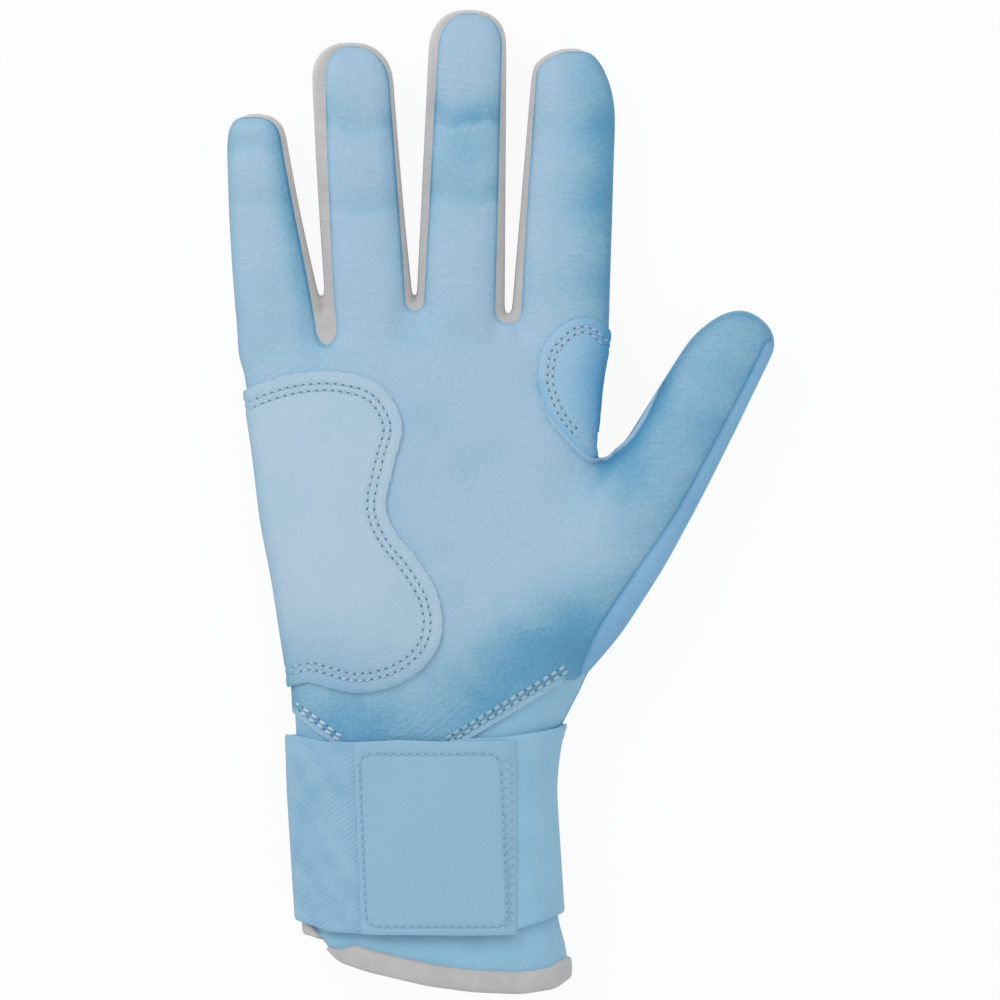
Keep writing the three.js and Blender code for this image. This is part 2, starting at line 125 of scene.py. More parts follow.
formSize = {
    "voxel": 0.65, "sides": 56, "step": 3.0, "squareness": 2.5, "fingerLift": 0.6, "easeStep": 0.5,
    "tipAngles": (80, 66, 54, 43, 33, 24, 16, 9, 4),  # rings on a rounded tip, in degrees from its end
    "firstSmooth": (10, 0.5), "lastSmooth": (2, 0.4), "faceUp": (0.1, 0.75), "lowest": 0.05,
    "stub": 20, "stubStart": 7, "stubInset": 12, "stubRise": 0.8,  # a finger's root, buried in the hand
}
fingerNames = list(fingerSize)
for name, finger in fingerSize.items():
    finger["x"], finger["root"] = handPoint(f"{name}_knuckle")[:2]
    finger["crease"] = handPoint(f"{name}_crease")[1]
    finger["middle"] = finger["depths"][0] / 2 - formSize["fingerLift"]


def eased(rows, reach):
    table = np.array(rows, float)
    step = formSize["easeStep"]
    ys = np.arange(table[0, 0], table[-1, 0] + step / 2, step)
    steps = np.arange(-3 * reach, 3 * reach + step / 2, step)
    kernel = np.exp(-0.5 * (steps / reach) ** 2)
    kernel /= kernel.sum()
    columns = []
    for column in table.T[1:]:
        run = np.pad(np.interp(ys, table[:, 0], column), len(steps) // 2, mode="reflect", reflect_type="odd")
        columns.append(np.convolve(run, kernel, mode="valid"))
    return lambda y: [np.interp(y, ys, column) for column in columns]


def sectionPoint(section, angle):
    left, right, bottom, top, flat = section
    power = 2 / formSize["squareness"]
    cos, sin = np.cos(angle), np.sin(angle)
    x = (left + right) / 2 + (right - left) / 2 * np.sign(cos) * np.abs(cos) ** power
    z = (bottom + top) / 2 + (top - bottom) / 2 * np.sign(sin) * np.abs(sin) ** power
    return x, np.maximum(z, flat)


def ringPoints(section, y, sides):
    x, z = sectionPoint(section, (np.arange(sides) + 0.5) / sides * 2 * math.pi)
    return np.column_stack([x, np.full(sides, y), z])


def domeShare(toTip, dome, power):
    return np.maximum(1 - np.clip(1 - toTip / dome, 0, 1) ** power, 0) ** (1 / power)


def domed(section, toTip, size):
    left, right, bottom, top, flat = section
    midX, midZ = (left + right) / 2, (bottom + top) / 2
    leftShare, rightShare = (domeShare(toTip, dome, size["power"]) for dome in size["domes"])
    tall = domeShare(toTip, min(size["domes"]), 2)
    return [midX + (left - midX) * leftShare, midX + (right - midX) * rightShare,
            midZ + (bottom - midZ) * tall, midZ + (top - midZ) * tall, flat]


def loft(bm, rings):
    loops = []
    for ring in rings:
        made = bmesh.ops.create_circle(bm, segments=len(ring), radius=1)["verts"]
        for vert, point in zip(made, ring):
            vert.co = point
        loops.append(list(dict.fromkeys(edge for vert in made for edge in vert.link_edges)))
    for below, above in zip(loops, loops[1:]):
        bmesh.ops.bridge_loops(bm, edges=below + above)
    for end in (loops[0], loops[-1]):
        bmesh.ops.edgeloop_fill(bm, edges=end)


sleeveAt = eased(sleeveSize["rows"], sleeveSize["ease"])
thumbAt = eased(thumbSize["rows"], thumbSize["ease"])
thumbWay = Vector((math.sin(thumbSize["angle"]), math.cos(thumbSize["angle"]), 0))
thumbAcross = Vector((thumbWay.y, -thumbWay.x, 0))
thumbPlace = Matrix.Translation((*thumbSize["tip"], 0)) @ Matrix.Rotation(-thumbSize["angle"], 4, "Z")


def fingerRow(finger, y):
    share = np.clip((y - finger["root"]) / (finger["tip"] - finger["root"]), 0, 1)
    width = finger["widths"][0] + (finger["widths"][1] - finger["widths"][0]) * share
    depth = finger["depths"][0] + (finger["depths"][1] - finger["depths"][0]) * share
    x = finger["x"] + finger["shift"] + finger["lean"] * share + finger["bow"] * np.sin(math.pi * share)
    return x, width / 2, depth / 2


def fingerSection(finger, y):
    x, halfWidth, halfDepth = fingerRow(finger, y)
    buried = np.clip((finger["root"] - formSize["stubStart"] - y) / formSize["stub"], 0, 1)
    inset = formSize["stubInset"] * buried
    left = x - halfWidth + (0 if "pinky" in finger["walls"] else inset)
    right = x + halfWidth - (0 if "thumb" in finger["walls"] else inset)
    bottom = finger["middle"] - halfDepth + formSize["stubRise"] * inset
    return domed([left, right, bottom, finger["middle"] + halfDepth, 0], finger["tip"] - y, finger)


def tipStations(low, high, dome):
    rounds = [high - dome * (1 - math.cos(math.radians(angle))) for angle in formSize["tipAngles"]]
    return list(np.arange(low, high - dome, formSize["step"])) + rounds


def lofts():
    bm = bmesh.new()
    sides = formSize["sides"]
    ys = np.arange(sleeveSize["rows"][0][0], sleeveSize["rows"][-1][0] + 0.1, formSize["step"])
    loft(bm, [ringPoints(sleeveAt(y), y, 2 * sides) for y in ys])
    rings = []
    for y in tipStations(thumbSize["rows"][0][0], 0, min(thumbSize["domes"])):
        ring = ringPoints(domed(thumbAt(y), -y, thumbSize), y, sides)
        rings.append([thumbPlace @ Vector(point) for point in ring])
    loft(bm, rings)
    for finger in fingerSize.values():
        rings = []
        for y in tipStations(finger["root"] - formSize["stub"], finger["tip"], min(finger["domes"])):
            rings.append(ringPoints(fingerSection(finger, y), y, sides))
        loft(bm, rings)
    return bm


# Crotches: the bottom of each gap between two fingers is filled up to here.
gapSize = {"tops": (106.4, 109.0, 106.0), "reach": 3.2, "low": 84, "backDrop": 2.6, "palmDrop": 2.2,
           "round": 2.0, "topShares": (0.6, 0.25, 0), "overRound": 1.1, "leastShare": 0.1, "sides": 24,
           "fingersFrom": 92}


def gapX(i, y):
    before, after = fingerSize[fingerNames[i]], fingerSize[fingerNames[i + 1]]
    leftX, leftHalf, _ = fingerRow(before, y)
    rightX, rightHalf, _ = fingerRow(after, y)
    return (leftX + leftHalf + rightX - rightHalf) / 2


def fillGaps(bm):
    for i, top in enumerate(gapSize["tops"]):
        depth = min(fingerSize[fingerNames[i]]["depths"][0], fingerSize[fingerNames[i + 1]]["depths"][0])
        low, high = gapSize["backDrop"], depth - gapSize["palmDrop"]
        reach, middle, rounded = gapSize["reach"], (low + high) / 2, gapSize["round"]
        stations = [*np.arange(gapSize["low"], top - rounded, rounded)]
        stations += [top - share * rounded for share in gapSize["topShares"]]
        rings = []
        for y in stations:
            x = float(gapX(i, y))
            over = max(0, (y - top + rounded) / (gapSize["overRound"] * rounded))
            half = (high - low) / 2 * math.sqrt(max(1 - over ** 2, gapSize["leastShare"]))
            section = [x - reach, x + reach, middle - half, middle + half, 0]
            rings.append(ringPoints(section, y, gapSize["sides"]))
        loft(bm, rings)


def voxelUnion(bm):
    bmesh.ops.recalc_face_normals(bm, faces=bm.faces)
    mesh = bpy.data.meshes.new("handForm")
    bm.to_mesh(mesh)
    bm.free()
    obj = bpy.data.objects.new("handForm", mesh)
    bpy.context.scene.collection.objects.link(obj)
    union = obj.modifiers.new("union", "REMESH")
    union.mode = "VOXEL"
    union.voxel_size = formSize["voxel"]
    union.adaptivity = 0
    joined = bpy.data.meshes.new_from_object(obj.evaluated_get(bpy.context.evaluated_depsgraph_get()))
    bpy.data.objects.remove(obj)
    bpy.data.meshes.remove(mesh)
    return joined


def relax(points, edges, rounds, weight):
    count = len(points)
    shared = np.bincount(edges.ravel(), minlength=count)[:, None]
    for _ in range(rounds):
        total = np.column_stack([
            np.bincount(edges[:, 0], points[edges[:, 1], axis], count)
            + np.bincount(edges[:, 1], points[edges[:, 0], axis], count) for axis in range(3)])
        points = points + (total / shared - points) * weight[:, None]
    return points


def relaxAll(points, edges, rounds, weight):
    return relax(points, edges, rounds, np.full(len(points), weight))


def thumbCoords(points):
    offset = points[:, :2] - np.array(thumbSize["tip"])
    return offset @ np.array(thumbWay[:2]), offset @ np.array(thumbAcross[:2])


def thumbPast(points, low):
    u, v = thumbCoords(points)
    return (u > low) & (v > thumbSize["side"]) & (points[:, 0] > thumbSize["clearX"])


def fingerOf(points):
    gaps = range(len(gapSize["tops"]))
    index = sum((points[:, 0] > gapX(i, points[:, 1])).astype(int) for i in gaps)
    onFinger = (points[:, 1] > gapSize["fingersFrom"]) & ~thumbPast(points, thumbSize["near"])
    return np.where(onFinger, index, -1)


# Soft forms of the palm: centre, reach and height of each swelling or hollow, and the finger creases.
palmForms = [
    {"at": (14, 62), "reach": (20, 24), "height": -2.4},
    {"at": (40, 44), "reach": (16, 20), "height": 1.2},
    {"at": (-20, 46), "reach": (17, 26), "height": 0.9},
    {"at": (-2, 98), "reach": (40, 7), "height": 0.5},
    {"at": (8, 12), "reach": (26, 9), "height": -1.0},
]
creaseSize = {"tipSide": 4.4, "rootSide": 1.0, "bow": 0.9, "bowMiddle": 0.4, "pad": 0.5, "padStart": 2,
              "waves": ((0.25, 1.1), (0.5, 0.41)), "dark": 0.27, "darkSpread": 1.1,
              "uneven": (0.75, 0.35, 0.3)}  # level, swing and rate of the painted shade line along a crease
# Where the thumb and the fingers run into the palm, the form is smoothed: middle and reach.
junctionSize = {"thumbU": (-62, 24), "thumbV": (-14, 16), "rootsY": (97, 7), "rootsRight": 48,
                "rootsShare": 0.8, "rounds": 60}


def creaseBand(finger, crease, x, y, spread=1.0):
    middleX, halfWidth, _ = fingerRow(finger, y)
    across = (x - middleX) / halfWidth
    wavy = sum(size * np.sin(rate * x + k * crease) for k, (size, rate) in enumerate(creaseSize["waves"], 1))
    away = y - crease - creaseSize["bow"] * (across ** 2 - creaseSize["bowMiddle"]) - wavy
    tipSide, rootSide = (bell(away, spread * creaseSize[side]) for side in ("tipSide", "rootSide"))
    return np.where(away > 0, tipSide, rootSide)


def around(value, spot):
    return bell(value - spot[0], spot[1])


def spots(forms, key, x, y):
    total = 0
    for form in forms:
        (atX, atY), (reachX, reachY) = form["at"], form["reach"]
        total = total + form[key] * bell(x - atX, reachX) * bell(y - atY, reachY)
    return total


def sculpt(mesh):
    points = valuesOf(mesh.vertices, "co", 3).astype(float)
    edges = valuesOf(mesh.edges, "vertices", 2, np.int32)
    points = relaxAll(points, edges, *formSize["firstSmooth"])
    u, v = thumbCoords(points)
    roots = around(points[:, 1], junctionSize["rootsY"]) * (points[:, 0] < junctionSize["rootsRight"])
    thumbRoot = around(u, junctionSize["thumbU"]) * around(v, junctionSize["thumbV"])
    junction = np.clip(thumbRoot + junctionSize["rootsShare"] * roots, 0, 1)
    points = relax(points, edges, junctionSize["rounds"], 0.5 * junction)
    mesh.vertices.foreach_set("co", points.astype(np.float32).ravel())
    mesh.update()
    normals = valuesOf(mesh.vertex_normals, "vector", 3).astype(float)
    up = smoothStep(normals[:, 2], *formSize["faceUp"])
    x, y = points[:, 0], points[:, 1]
    lift = spots(palmForms, "height", x, y) * up
    belongs = fingerOf(points)
    for i, finger in enumerate(fingerSize.values()):
        padStart = finger["root"] - creaseSize["padStart"]
        mine = (belongs == i) & (y > padStart)
        stops = [padStart, *(crease for crease, _ in finger["creases"]), finger["tip"]]
        for low, high in zip(stops, stops[1:]):
            share = np.clip((y - low) / (high - low), 0, 1)
            lift += mine * up * creaseSize["pad"] * np.sin(math.pi * share) ** 2
        for crease, depth in finger["creases"]:
            lift -= mine * up * depth * creaseBand(finger, crease, x, y)
    points += normals * lift[:, None]
    points = relaxAll(points, edges, *formSize["lastSmooth"])
    points[:, 2] = np.maximum(points[:, 2], formSize["lowest"])
    mesh.vertices.foreach_set("co", points.astype(np.float32).ravel())
    mesh.update()


def catmull(points, closed, count, stepsEach=24):
    points = np.array(points, float)
    if closed:
        run = np.vstack([points[-1:], points, points[:2]])
    else:
        run = np.vstack([2 * points[0] - points[1], points, 2 * points[-1] - points[-2]])
    out = []
    for p0, p1, p2, p3 in zip(run, run[1:], run[2:], run[3:]):
        for t in np.linspace(0, 1, stepsEach, endpoint=False):
            out.append(0.5 * (2 * p1 + (p2 - p0) * t + (2 * p0 - 5 * p1 + 4 * p2 - p3) * t ** 2
                              + (3 * p1 - p0 - 3 * p2 + p3) * t ** 3))
    if not closed:
        out.append(points[-1])
    return evenly(np.array(out), closed, count)


def pathLength(run):
    return np.concatenate([[0], np.cumsum(np.linalg.norm(np.diff(run, axis=0), axis=1))])


def evenly(run, closed, count):
    if closed:
        run = np.vstack([run, run[:1]])
    length = pathLength(run)
    at = np.linspace(0, length[-1], count + 1 if closed else count)
    even = np.column_stack([np.interp(at, length, column) for column in run.T])
    return even[:-1] if closed else even


def curveDistance(points, curve, closed):
    ends = np.roll(curve, -1, axis=0) if closed else curve[1:]
    best = np.full(len(points), np.inf)
    side = np.ones(len(points))
    for start, end in zip(curve, ends):
        step = end - start
        offset = points - start
        share = np.clip(offset @ step / (step @ step), 0, 1)
        away = np.linalg.norm(offset - share[:, None] * step, axis=1)
        nearer = away < best
        best[nearer] = away[nearer]
        side[nearer] = np.sign(step[0] * offset[nearer, 1] - step[1] * offset[nearer, 0])
    return best * side


# Seams in the plan view. The palm leather ends in a V over the cuff.
seamSize = {
    "thumb": [[37.5, 16.6], [42, 27.5], [52, 42.5], [62.5, 58], [76.5, 84], [84, 99]],
    "vee": [(-36, 9.6), (-34.2, 7.2), (-31.8, 4.9), (-27.9, 1.9), (-25.5, 0.3), (-9.3, -11.4), (10.6, 0.9),
            (24.75, 9.5), (34.4, 15.4), (36.2, 15.2), (39, 17.6)],
    "stripLow": 16.6, "wristY": -4, "slitX": -26.3, "crotch": (46, 72),
    "sideZ": 8, "sideDrop": 2.35, "sideFall": (78, 102),  # the side seams run lower towards the fingers
    "thumbZ": 14, "thumbDrop": 7.35, "thumbFall": (70, 96),
    "hem": [(-40, -48.3), (-30.8, -48.6), (-28.3, -49.2), (-26.5, -50.1), (-25.2, -52.9), (-22.6, -55.3),
            (-15.5, -57.7), (-0.2, -61.2), (11, -62.7), (23.3, -63.2), (31.4, -62), (35.5, -59), (42, -54)],
    "backDrop": 4, "outerDrop": 2, "bindingCover": 0.8, "thumbPoints": 60, "stripPast": 0.5,
    "leatherRise": 0.3, "turnIn": (-2, 5), "tipGap": 0.15,  # on a finger's sides and tip
}
thumbSeam = catmull(seamSize["thumb"], False, seamSize["thumbPoints"])
tongues = [  # grey webs seen from above: middle height, half width and half length
    {"y": 104.2, "half": 2.6, "length": 5.2}, {"y": 109.8, "half": 2.1, "length": 2.4},
    {"y": 107.6, "half": 3.0, "length": 3.3},
]


def along(table, x):
    xs, ys = zip(*table)
    return np.interp(x, xs, ys)


def sideSeam(points):
    x, y = points[:, 0], points[:, 1]
    pinkySide = seamSize["sideZ"] - seamSize["sideDrop"] * smoothStep(y, *seamSize["sideFall"])
    thumbSide = seamSize["thumbZ"] - seamSize["thumbDrop"] * smoothStep(y, *seamSize["thumbFall"])
    return np.where(x < 0, pinkySide, thumbSide)


def frontField(points):
    x, y, z = points.T
    seam = -curveDistance(points[:, :2], thumbSeam, False)
    stripEnd = thumbSeam[-1, 1] + seamSize["stripPast"]
    strip = np.minimum(seam, np.minimum(y - seamSize["stripLow"], stripEnd - y))
    crotchX, crotchY = seamSize["crotch"]
    onThumb = (thumbCoords(points)[1] > thumbSize["side"]) & (y > crotchY) & (x > crotchX)
    height = np.where(onThumb, seamSize["thumbZ"], sideSeam(points))
    return np.maximum(strip, height - z)


def palmField(points):
    return along(seamSize["vee"], points[:, 0]) - points[:, 1]


def tongueField(points):
    best = np.full(len(points), np.inf)
    for i, tongue in enumerate(tongues):
        x = np.abs(points[:, 0] - gapX(i, points[:, 1])) / tongue["half"]
        below = np.clip((tongue["y"] - points[:, 1]) / tongue["length"], 0, None)
        rounded = np.hypot(x, below)
        low = seamSize["backDrop"] - fingerSize[fingerNames[i]]["middle"]
        best = np.minimum(best, np.maximum((rounded - 1) * tongue["half"], -low - points[:, 2]))
    return best


def fingerFields(name):
    finger = fingerSize[name]
    walls = finger["walls"]
    outside = 5.0

    def leather(points):
        x, y, z = points.T
        share = np.clip((y - finger["root"]) / (finger["tip"] - finger["root"]), 0, 1)
        shown = {"pinky": -outside, "thumb": -outside}
        for side, (atRoot, atTip, ease) in walls.items():
            shown[side] = atTip + (atRoot - atTip) * (1 - share) ** ease
        rimY = np.minimum(y + finger["rim"], finger["tip"] - seamSize["tipGap"])
        left, right = fingerSection(finger, rimY)[:2]
        narrow = np.clip((right - left) / (2 * fingerRow(finger, y)[1]), 0, 1)  # thinner towards the tip
        beside = np.maximum(left + shown["pinky"] * narrow - x, x - right + shown["thumb"] * narrow)
        beyond = y - finger["tip"] + finger["rim"]
        return np.maximum(np.maximum(beside, beyond), lowest(points, seamSize["leatherRise"]) - z)

    def lowest(points, walled):
        middleX = fingerRow(finger, points[:, 1])[0]
        toThumb = smoothStep(points[:, 0] - middleX, *seamSize["turnIn"])
        toPinky = smoothStep(middleX - points[:, 0], *seamSize["turnIn"])
        bare = (0 if "thumb" in walls else toThumb) + (0 if "pinky" in walls else toPinky)
        return finger["middle"] + walled * (1 - bare) - seamSize["outerDrop"] * bare

    def back(points):
        return points[:, 2] - lowest(points, -seamSize["backDrop"])

    return leather, back


scratch = bpy.data.meshes.new("scratch")


def meshArrays(bm):
    bm.to_mesh(scratch)
    return valuesOf(scratch.vertices, "co", 3).astype(float), valuesOf(scratch.edges, "vertices", 2, np.int32)


def faceCentres(bm):
    bm.to_mesh(scratch)
    return valuesOf(scratch.polygons, "center", 3).astype(float)


def moveTo(bm, points):
    for vert, point in zip(bm.verts, points.tolist()):
        vert.co = point


def cutAlong(bm, field, chosen, snap=0.15):
    bm.verts.ensure_lookup_table()
    bm.edges.ensure_lookup_table()
    points, pairs = meshArrays(bm)
    inside = chosen(points)
    values = np.full(len(points), np.nan)
    values[inside] = field(points[inside])
    a, b = values[pairs[:, 0]], values[pairs[:, 1]]
    with np.errstate(invalid="ignore"):
        crossing = np.flatnonzero(a * b < 0)
    onLine = {}
    for i in crossing:  # a vertex close to the line is moved onto it
        share = a[i] / (a[i] - b[i])
        near = 0 if share < snap else 1 if share > 1 - snap else None
        if near is not None and pairs[i, near] not in onLine:
            first, second = (bm.verts[k] for k in pairs[i])
            onLine[pairs[i, near]] = bm.verts[pairs[i, near]]
            onLine[pairs[i, near]].co = first.co.lerp(second.co, share)
            values[pairs[i, near]] = 0.0
    line = list(onLine.values())
    splits = []
    for i in crossing:
        first, second = values[pairs[i, 0]], values[pairs[i, 1]]
        if first * second < 0:
            splits.append((bm.edges[i], bm.verts[pairs[i, 0]], first / (first - second)))
    for edge, start, share in splits:
        line.append(bmesh.utils.edge_split(edge, start, share)[1])
    bmesh.ops.connect_verts(bm, verts=line)


def everywhere(points):
    return np.ones(len(points), bool)


cutSize = {  # how far each cut reaches, so that it stays on its own piece
    "jointLow": 6, "wallLow": 1.5, "past": 1.5, "veeTop": 24, "slitTop": 12, "frontZ": 5,
    "wristTop": 17, "hemTop": -40,
}


def nearWebs(points):
    return (points[:, 1] > gapSize["fingersFrom"]) & (points[:, 0] < thumbSize["clearX"])


def cutForm(bm):
    def onFinger(i, low):
        start = fingerSize[fingerNames[i]]["root"] - low
        return lambda points: (fingerOf(points) == i) & (points[:, 1] > start)

    def onThumb(points):
        return thumbPast(points, thumbSize["sewnFrom"])

    def frontBelow(top):
        return lambda points: (points[:, 1] < top) & (points[:, 2] > cutSize["frontZ"])

    for i, name in enumerate(fingerNames):
        for row in ("root", "crease"):
            cutAlong(bm, lambda points: points[:, 1] - fingerSize[name][row],
                     onFinger(i, cutSize["jointLow"]))
        for field in fingerFields(name):
            cutAlong(bm, field, onFinger(i, cutSize["wallLow"]))
    for jointRow in (thumbRootU, thumbCreaseU):
        cutAlong(bm, lambda points: thumbCoords(points)[0] - jointRow, onThumb)
    cutAlong(bm, frontField, lambda points: onHand(points, cutSize["past"]) | onThumb(points))
    cutAlong(bm, tongueField, lambda points: onHand(points, cutSize["past"]) & nearWebs(points))
    cutAlong(bm, palmField, frontBelow(cutSize["veeTop"]))
    cutAlong(bm, lambda points: points[:, 0] - seamSize["slitX"], frontBelow(cutSize["slitTop"]))
    cutAlong(bm, lambda points: points[:, 1] - seamSize["wristY"],
             lambda points: points[:, 2] < cutSize["wristTop"])
    cutAlong(bm, hemField, lambda points: points[:, 1] < cutSize["hemTop"])


def hemField(points):
    return points[:, 1] - along(seamSize["hem"], points[:, 0]) - seamSize["bindingCover"]


thumbRootU = thumbCoords(np.array([handPoint("thumb_knuckle")]))[0][0]
thumbCreaseU = thumbCoords(np.array([handPoint("thumb_crease")]))[0][0]


def onHand(points, past):
    belongs = fingerOf(points)
    hand = np.ones(len(points), bool)
    for i, finger in enumerate(fingerSize.values()):
        hand &= ~((belongs == i) & (points[:, 1] > finger["root"] + past))
    return hand & ~thumbPast(points, thumbRootU + past)


def sortFaces(points):
    names = np.full(len(points), "", dtype="U40")
    belongs = fingerOf(points)
    front = frontField(points) < 0
    hand = onHand(points, 0)
    for i, name in enumerate(fingerNames):
        finger = fingerSize[name]
        leather, back = fingerFields(name)
        mine = (belongs == i) & ~hand
        part = np.where(points[:, 1] > finger["crease"], "tip", "base")
        palmSide, backSide = leather(points) < 0, back(points) < 0
        middleX = fingerRow(finger, points[:, 1])[0]
        side = np.where(points[:, 0] > middleX, "thumb_side", "pinky_side")
        if len(finger["walls"]) == 1:
            side[:] = f"{list(finger['walls'])[0]}_side"
        for which in ("base", "tip"):
            here = mine & (part == which)
            names[here & palmSide] = f"{name}_{which}_palm"
            names[here & ~palmSide & backSide] = f"{name}_{which}_back"
            wall = here & ~palmSide & ~backSide
            if which == "tip":
                names[wall] = f"{name}_tip_sidewall"
            else:
                for each in ("thumb_side", "pinky_side"):
                    names[wall & (side == each)] = f"{name}_base_sidewall_{each}"
    thumb, u = thumbPast(points, thumbRootU), thumbCoords(points)[0]
    for which, there in (("base", u <= thumbCreaseU), ("tip", u > thumbCreaseU)):
        names[thumb & there & front] = f"thumb_{which}_palm"
        names[thumb & there & ~front] = f"thumb_{which}_back"
    palm = palmField(points) < 0
    below = points[:, 1] < seamSize["wristY"]
    names[hand & front & palm] = "palm_panel"
    names[hand & ~front & ~below] = "back_panel"
    names[hand & front & ~palm & (points[:, 0] > seamSize["slitX"])] = "cuff_flap"
    names[hand & front & ~palm & (points[:, 0] <= seamSize["slitX"])] = "cuff_back"
    names[hand & ~front & below] = "cuff_back"
    tongue = hand & (tongueField(points) < 0) & nearWebs(points)
    webs = [f"web_{a}_{b}" for a, b in zip(fingerNames, fingerNames[1:])]
    nearest = np.argmin([np.abs(points[:, 0] - gapX(i, points[:, 1])) for i in range(len(webs))], axis=0)
    for i, web in enumerate(webs):
        names[tongue & (nearest == i)] = web
    names[hemField(points) < 0] = ""
    return names


# Rolled piping round the thumb crotch, as points in the plan view.
pipingSize = {
    "path": [(27.2, 89.2), (28.9, 82.3), (31.1, 78.8), (33.7, 75.8), (36.7, 72.6), (39.3, 70.4), (41.4, 69.6),
             (43.2, 70.2), (46.6, 72), (50.1, 75.2), (52.6, 78.8), (54.8, 82.7), (56.5, 86.2), (58, 89.2)],
    "radius": 0.8, "sides": 10, "tone": 0.1, "taper": 16, "endTaper": 10, "thin": 0.15,
    "stations": 120, "shadeStations": 40, "crotchZ": 14, "steepest": 0.1, "rounds": 6,
}
# Seam grooves pressed into the form, and spots of painted shade on the leather: centre, reach and how dark.
grooveSize = {"depth": 0.35, "width": 0.55, "fingerFrom": (-3, 1), "seamFrom": (14, 20)}
shadeSpots = [
    {"at": (-36, 99), "reach": (12, 9), "dark": 0.15}, {"at": (46, 88), "reach": (9.5, 16), "dark": 0.62},
    {"at": (9, 148), "reach": (10, 13), "dark": 0.3}, {"at": (-12, 22), "reach": (20, 8), "dark": 0.1},
    {"at": (32, 26), "reach": (12, 9), "dark": 0.22}, {"at": (-30, 22), "reach": (16, 9), "dark": 0.12},
    {"at": (20, 112), "reach": (6, 9), "dark": 0.1}, {"at": (80, 100), "reach": (12, 9), "dark": 0.08},
]
toneSize = {  # painted shade: how much each place darkens, or the fold band lightens, and between which heights, slopes or distances
    "groove": 0.35, "side": 0.28, "sideSlope": (0.15, 0.9), "faceUp": (-0.2, 0.3),
    "fingerFrom": 12, "rim": 0.95, "low": 0.64, "veeFall": (4, 30), "cuffFall": (0, 27),
    "fold": 0.45, "foldWidth": (1.1, 2.1), "foldEnd": (32.5, 34),
    "thumb": 0.42, "thumbFrom": (-72, -48), "thumbSide": (-20, -12), "thumbRight": 0.1, "rightSide": (2, 9),
    "piping": 0.25, "pipingReach": 1.3,
}


def grooveDepths(points, belongs):
    y, width = points[:, 1], grooveSize["width"]
    depth = np.zeros(len(points))
    for i, name in enumerate(fingerNames):
        rise = smoothStep(y - fingerSize[name]["root"], *grooveSize["fingerFrom"])
        for field in fingerFields(name):
            groove = bell(field(points), width) * rise
            depth[belongs == i] = np.maximum(depth, groove)[belongs == i]
    hand = onHand(points, 1)
    sewn = hand | thumbPast(points, thumbSize["sewnFrom"])
    seam = bell(frontField(points), width) * smoothStep(y, *grooveSize["seamFrom"])
    depth[sewn] = np.maximum(depth, seam)[sewn]
    web = bell(tongueField(points), width) * (y > gapSize["fingersFrom"])
    depth[hand] = np.maximum(depth, web)[hand]
    return depth


# Painted shade on a finger: darker towards its left and right sides, and in uneven bands along its creases.
def fingerShade(finger, x, y):
    middleX, halfWidth, _ = fingerRow(finger, y)
    across = (x - middleX) / halfWidth
    (left, fromLeft), (right, fromRight) = finger["shaded"]
    rim = toneSize["rim"]
    paintedShade = left * smoothStep(-across, fromLeft, rim) + right * smoothStep(across, fromRight, rim)
    for crease, strength in finger["creases"]:
        level, swing, rate = creaseSize["uneven"]
        uneven = level + swing * np.sin(rate * x + crease)
        band = creaseBand(finger, crease, x, y, creaseSize["darkSpread"])
        paintedShade += creaseSize["dark"] * strength * uneven * band
    return paintedShade


# Painted shade on the leather: the listed spots, the fingers' sides and creases, the thumb's right side,
# darker towards the V's right side and the cuff, and a dark line beside the piping as its painted shadow; a
# narrow band along the V's edge is painted lighter.
def paintedShadeAt(points, belongs, thumb):
    x, y = points[:, 0], points[:, 1]
    paintedShade = spots(shadeSpots, "dark", x, y)
    for i, finger in enumerate(fingerSize.values()):
        rise = smoothStep(y - finger["root"], -toneSize["fingerFrom"], toneSize["fingerFrom"])
        paintedShade += (belongs == i) * rise * fingerShade(finger, x, y)
    u, v = thumb
    onThumb = smoothStep(v, *toneSize["thumbSide"]) * smoothStep(u, *toneSize["thumbFrom"])
    paintedShade += onThumb * (toneSize["thumb"] + toneSize["thumbRight"] * smoothStep(v, *toneSize["rightSide"]))
    (startX, startY), (endX, endY) = seamSize["vee"][6], seamSize["vee"][8]  # the V's right side
    runX, runY = endX - startX, endY - startY
    aboveVee = ((y - startY) * runX - (x - startX) * runY) / math.hypot(runX, runY)
    low = np.maximum(1 - smoothStep(aboveVee, *toneSize["veeFall"]), 1 - smoothStep(y, *toneSize["cuffFall"]))
    fold = 1 - smoothStep(-palmField(points), *toneSize["foldWidth"])
    paintedShade += toneSize["low"] * low - toneSize["fold"] * fold * (1 - smoothStep(x, *toneSize["foldEnd"]))
    piping = catmull(pipingSize["path"], False, pipingSize["shadeStations"])
    toPiping = curveDistance(points[:, :2], piping, False)
    return paintedShade + toneSize["piping"] * bell(toPiping, toneSize["pipingReach"])


def pressGrooves(bm):
    points = meshArrays(bm)[0]
    normals = valuesOf(scratch.vertex_normals, "vector", 3).astype(float)
    belongs, thumb = fingerOf(points), thumbCoords(points)
    depth = grooveDepths(points, belongs)
    points -= normals * (grooveSize["depth"] * depth)[:, None]
    moveTo(bm, points)
    bm.normal_update()
    normals = np.array([vert.normal[:] for vert in bm.verts])
    # The tone is painted shade: darker in the seam grooves and on steep sides that turn from the light, plus
    # the painted shade of spots, sides, creases and bands on faces that turn up.
    paintedShade = paintedShadeAt(points, belongs, thumb) * smoothStep(normals[:, 2], *toneSize["faceUp"])
    side = smoothStep(1 - normals[:, 2], *toneSize["sideSlope"])
    return normals, np.clip(toneSize["groove"] * depth + toneSize["side"] * side + paintedShade, 0, 1), side


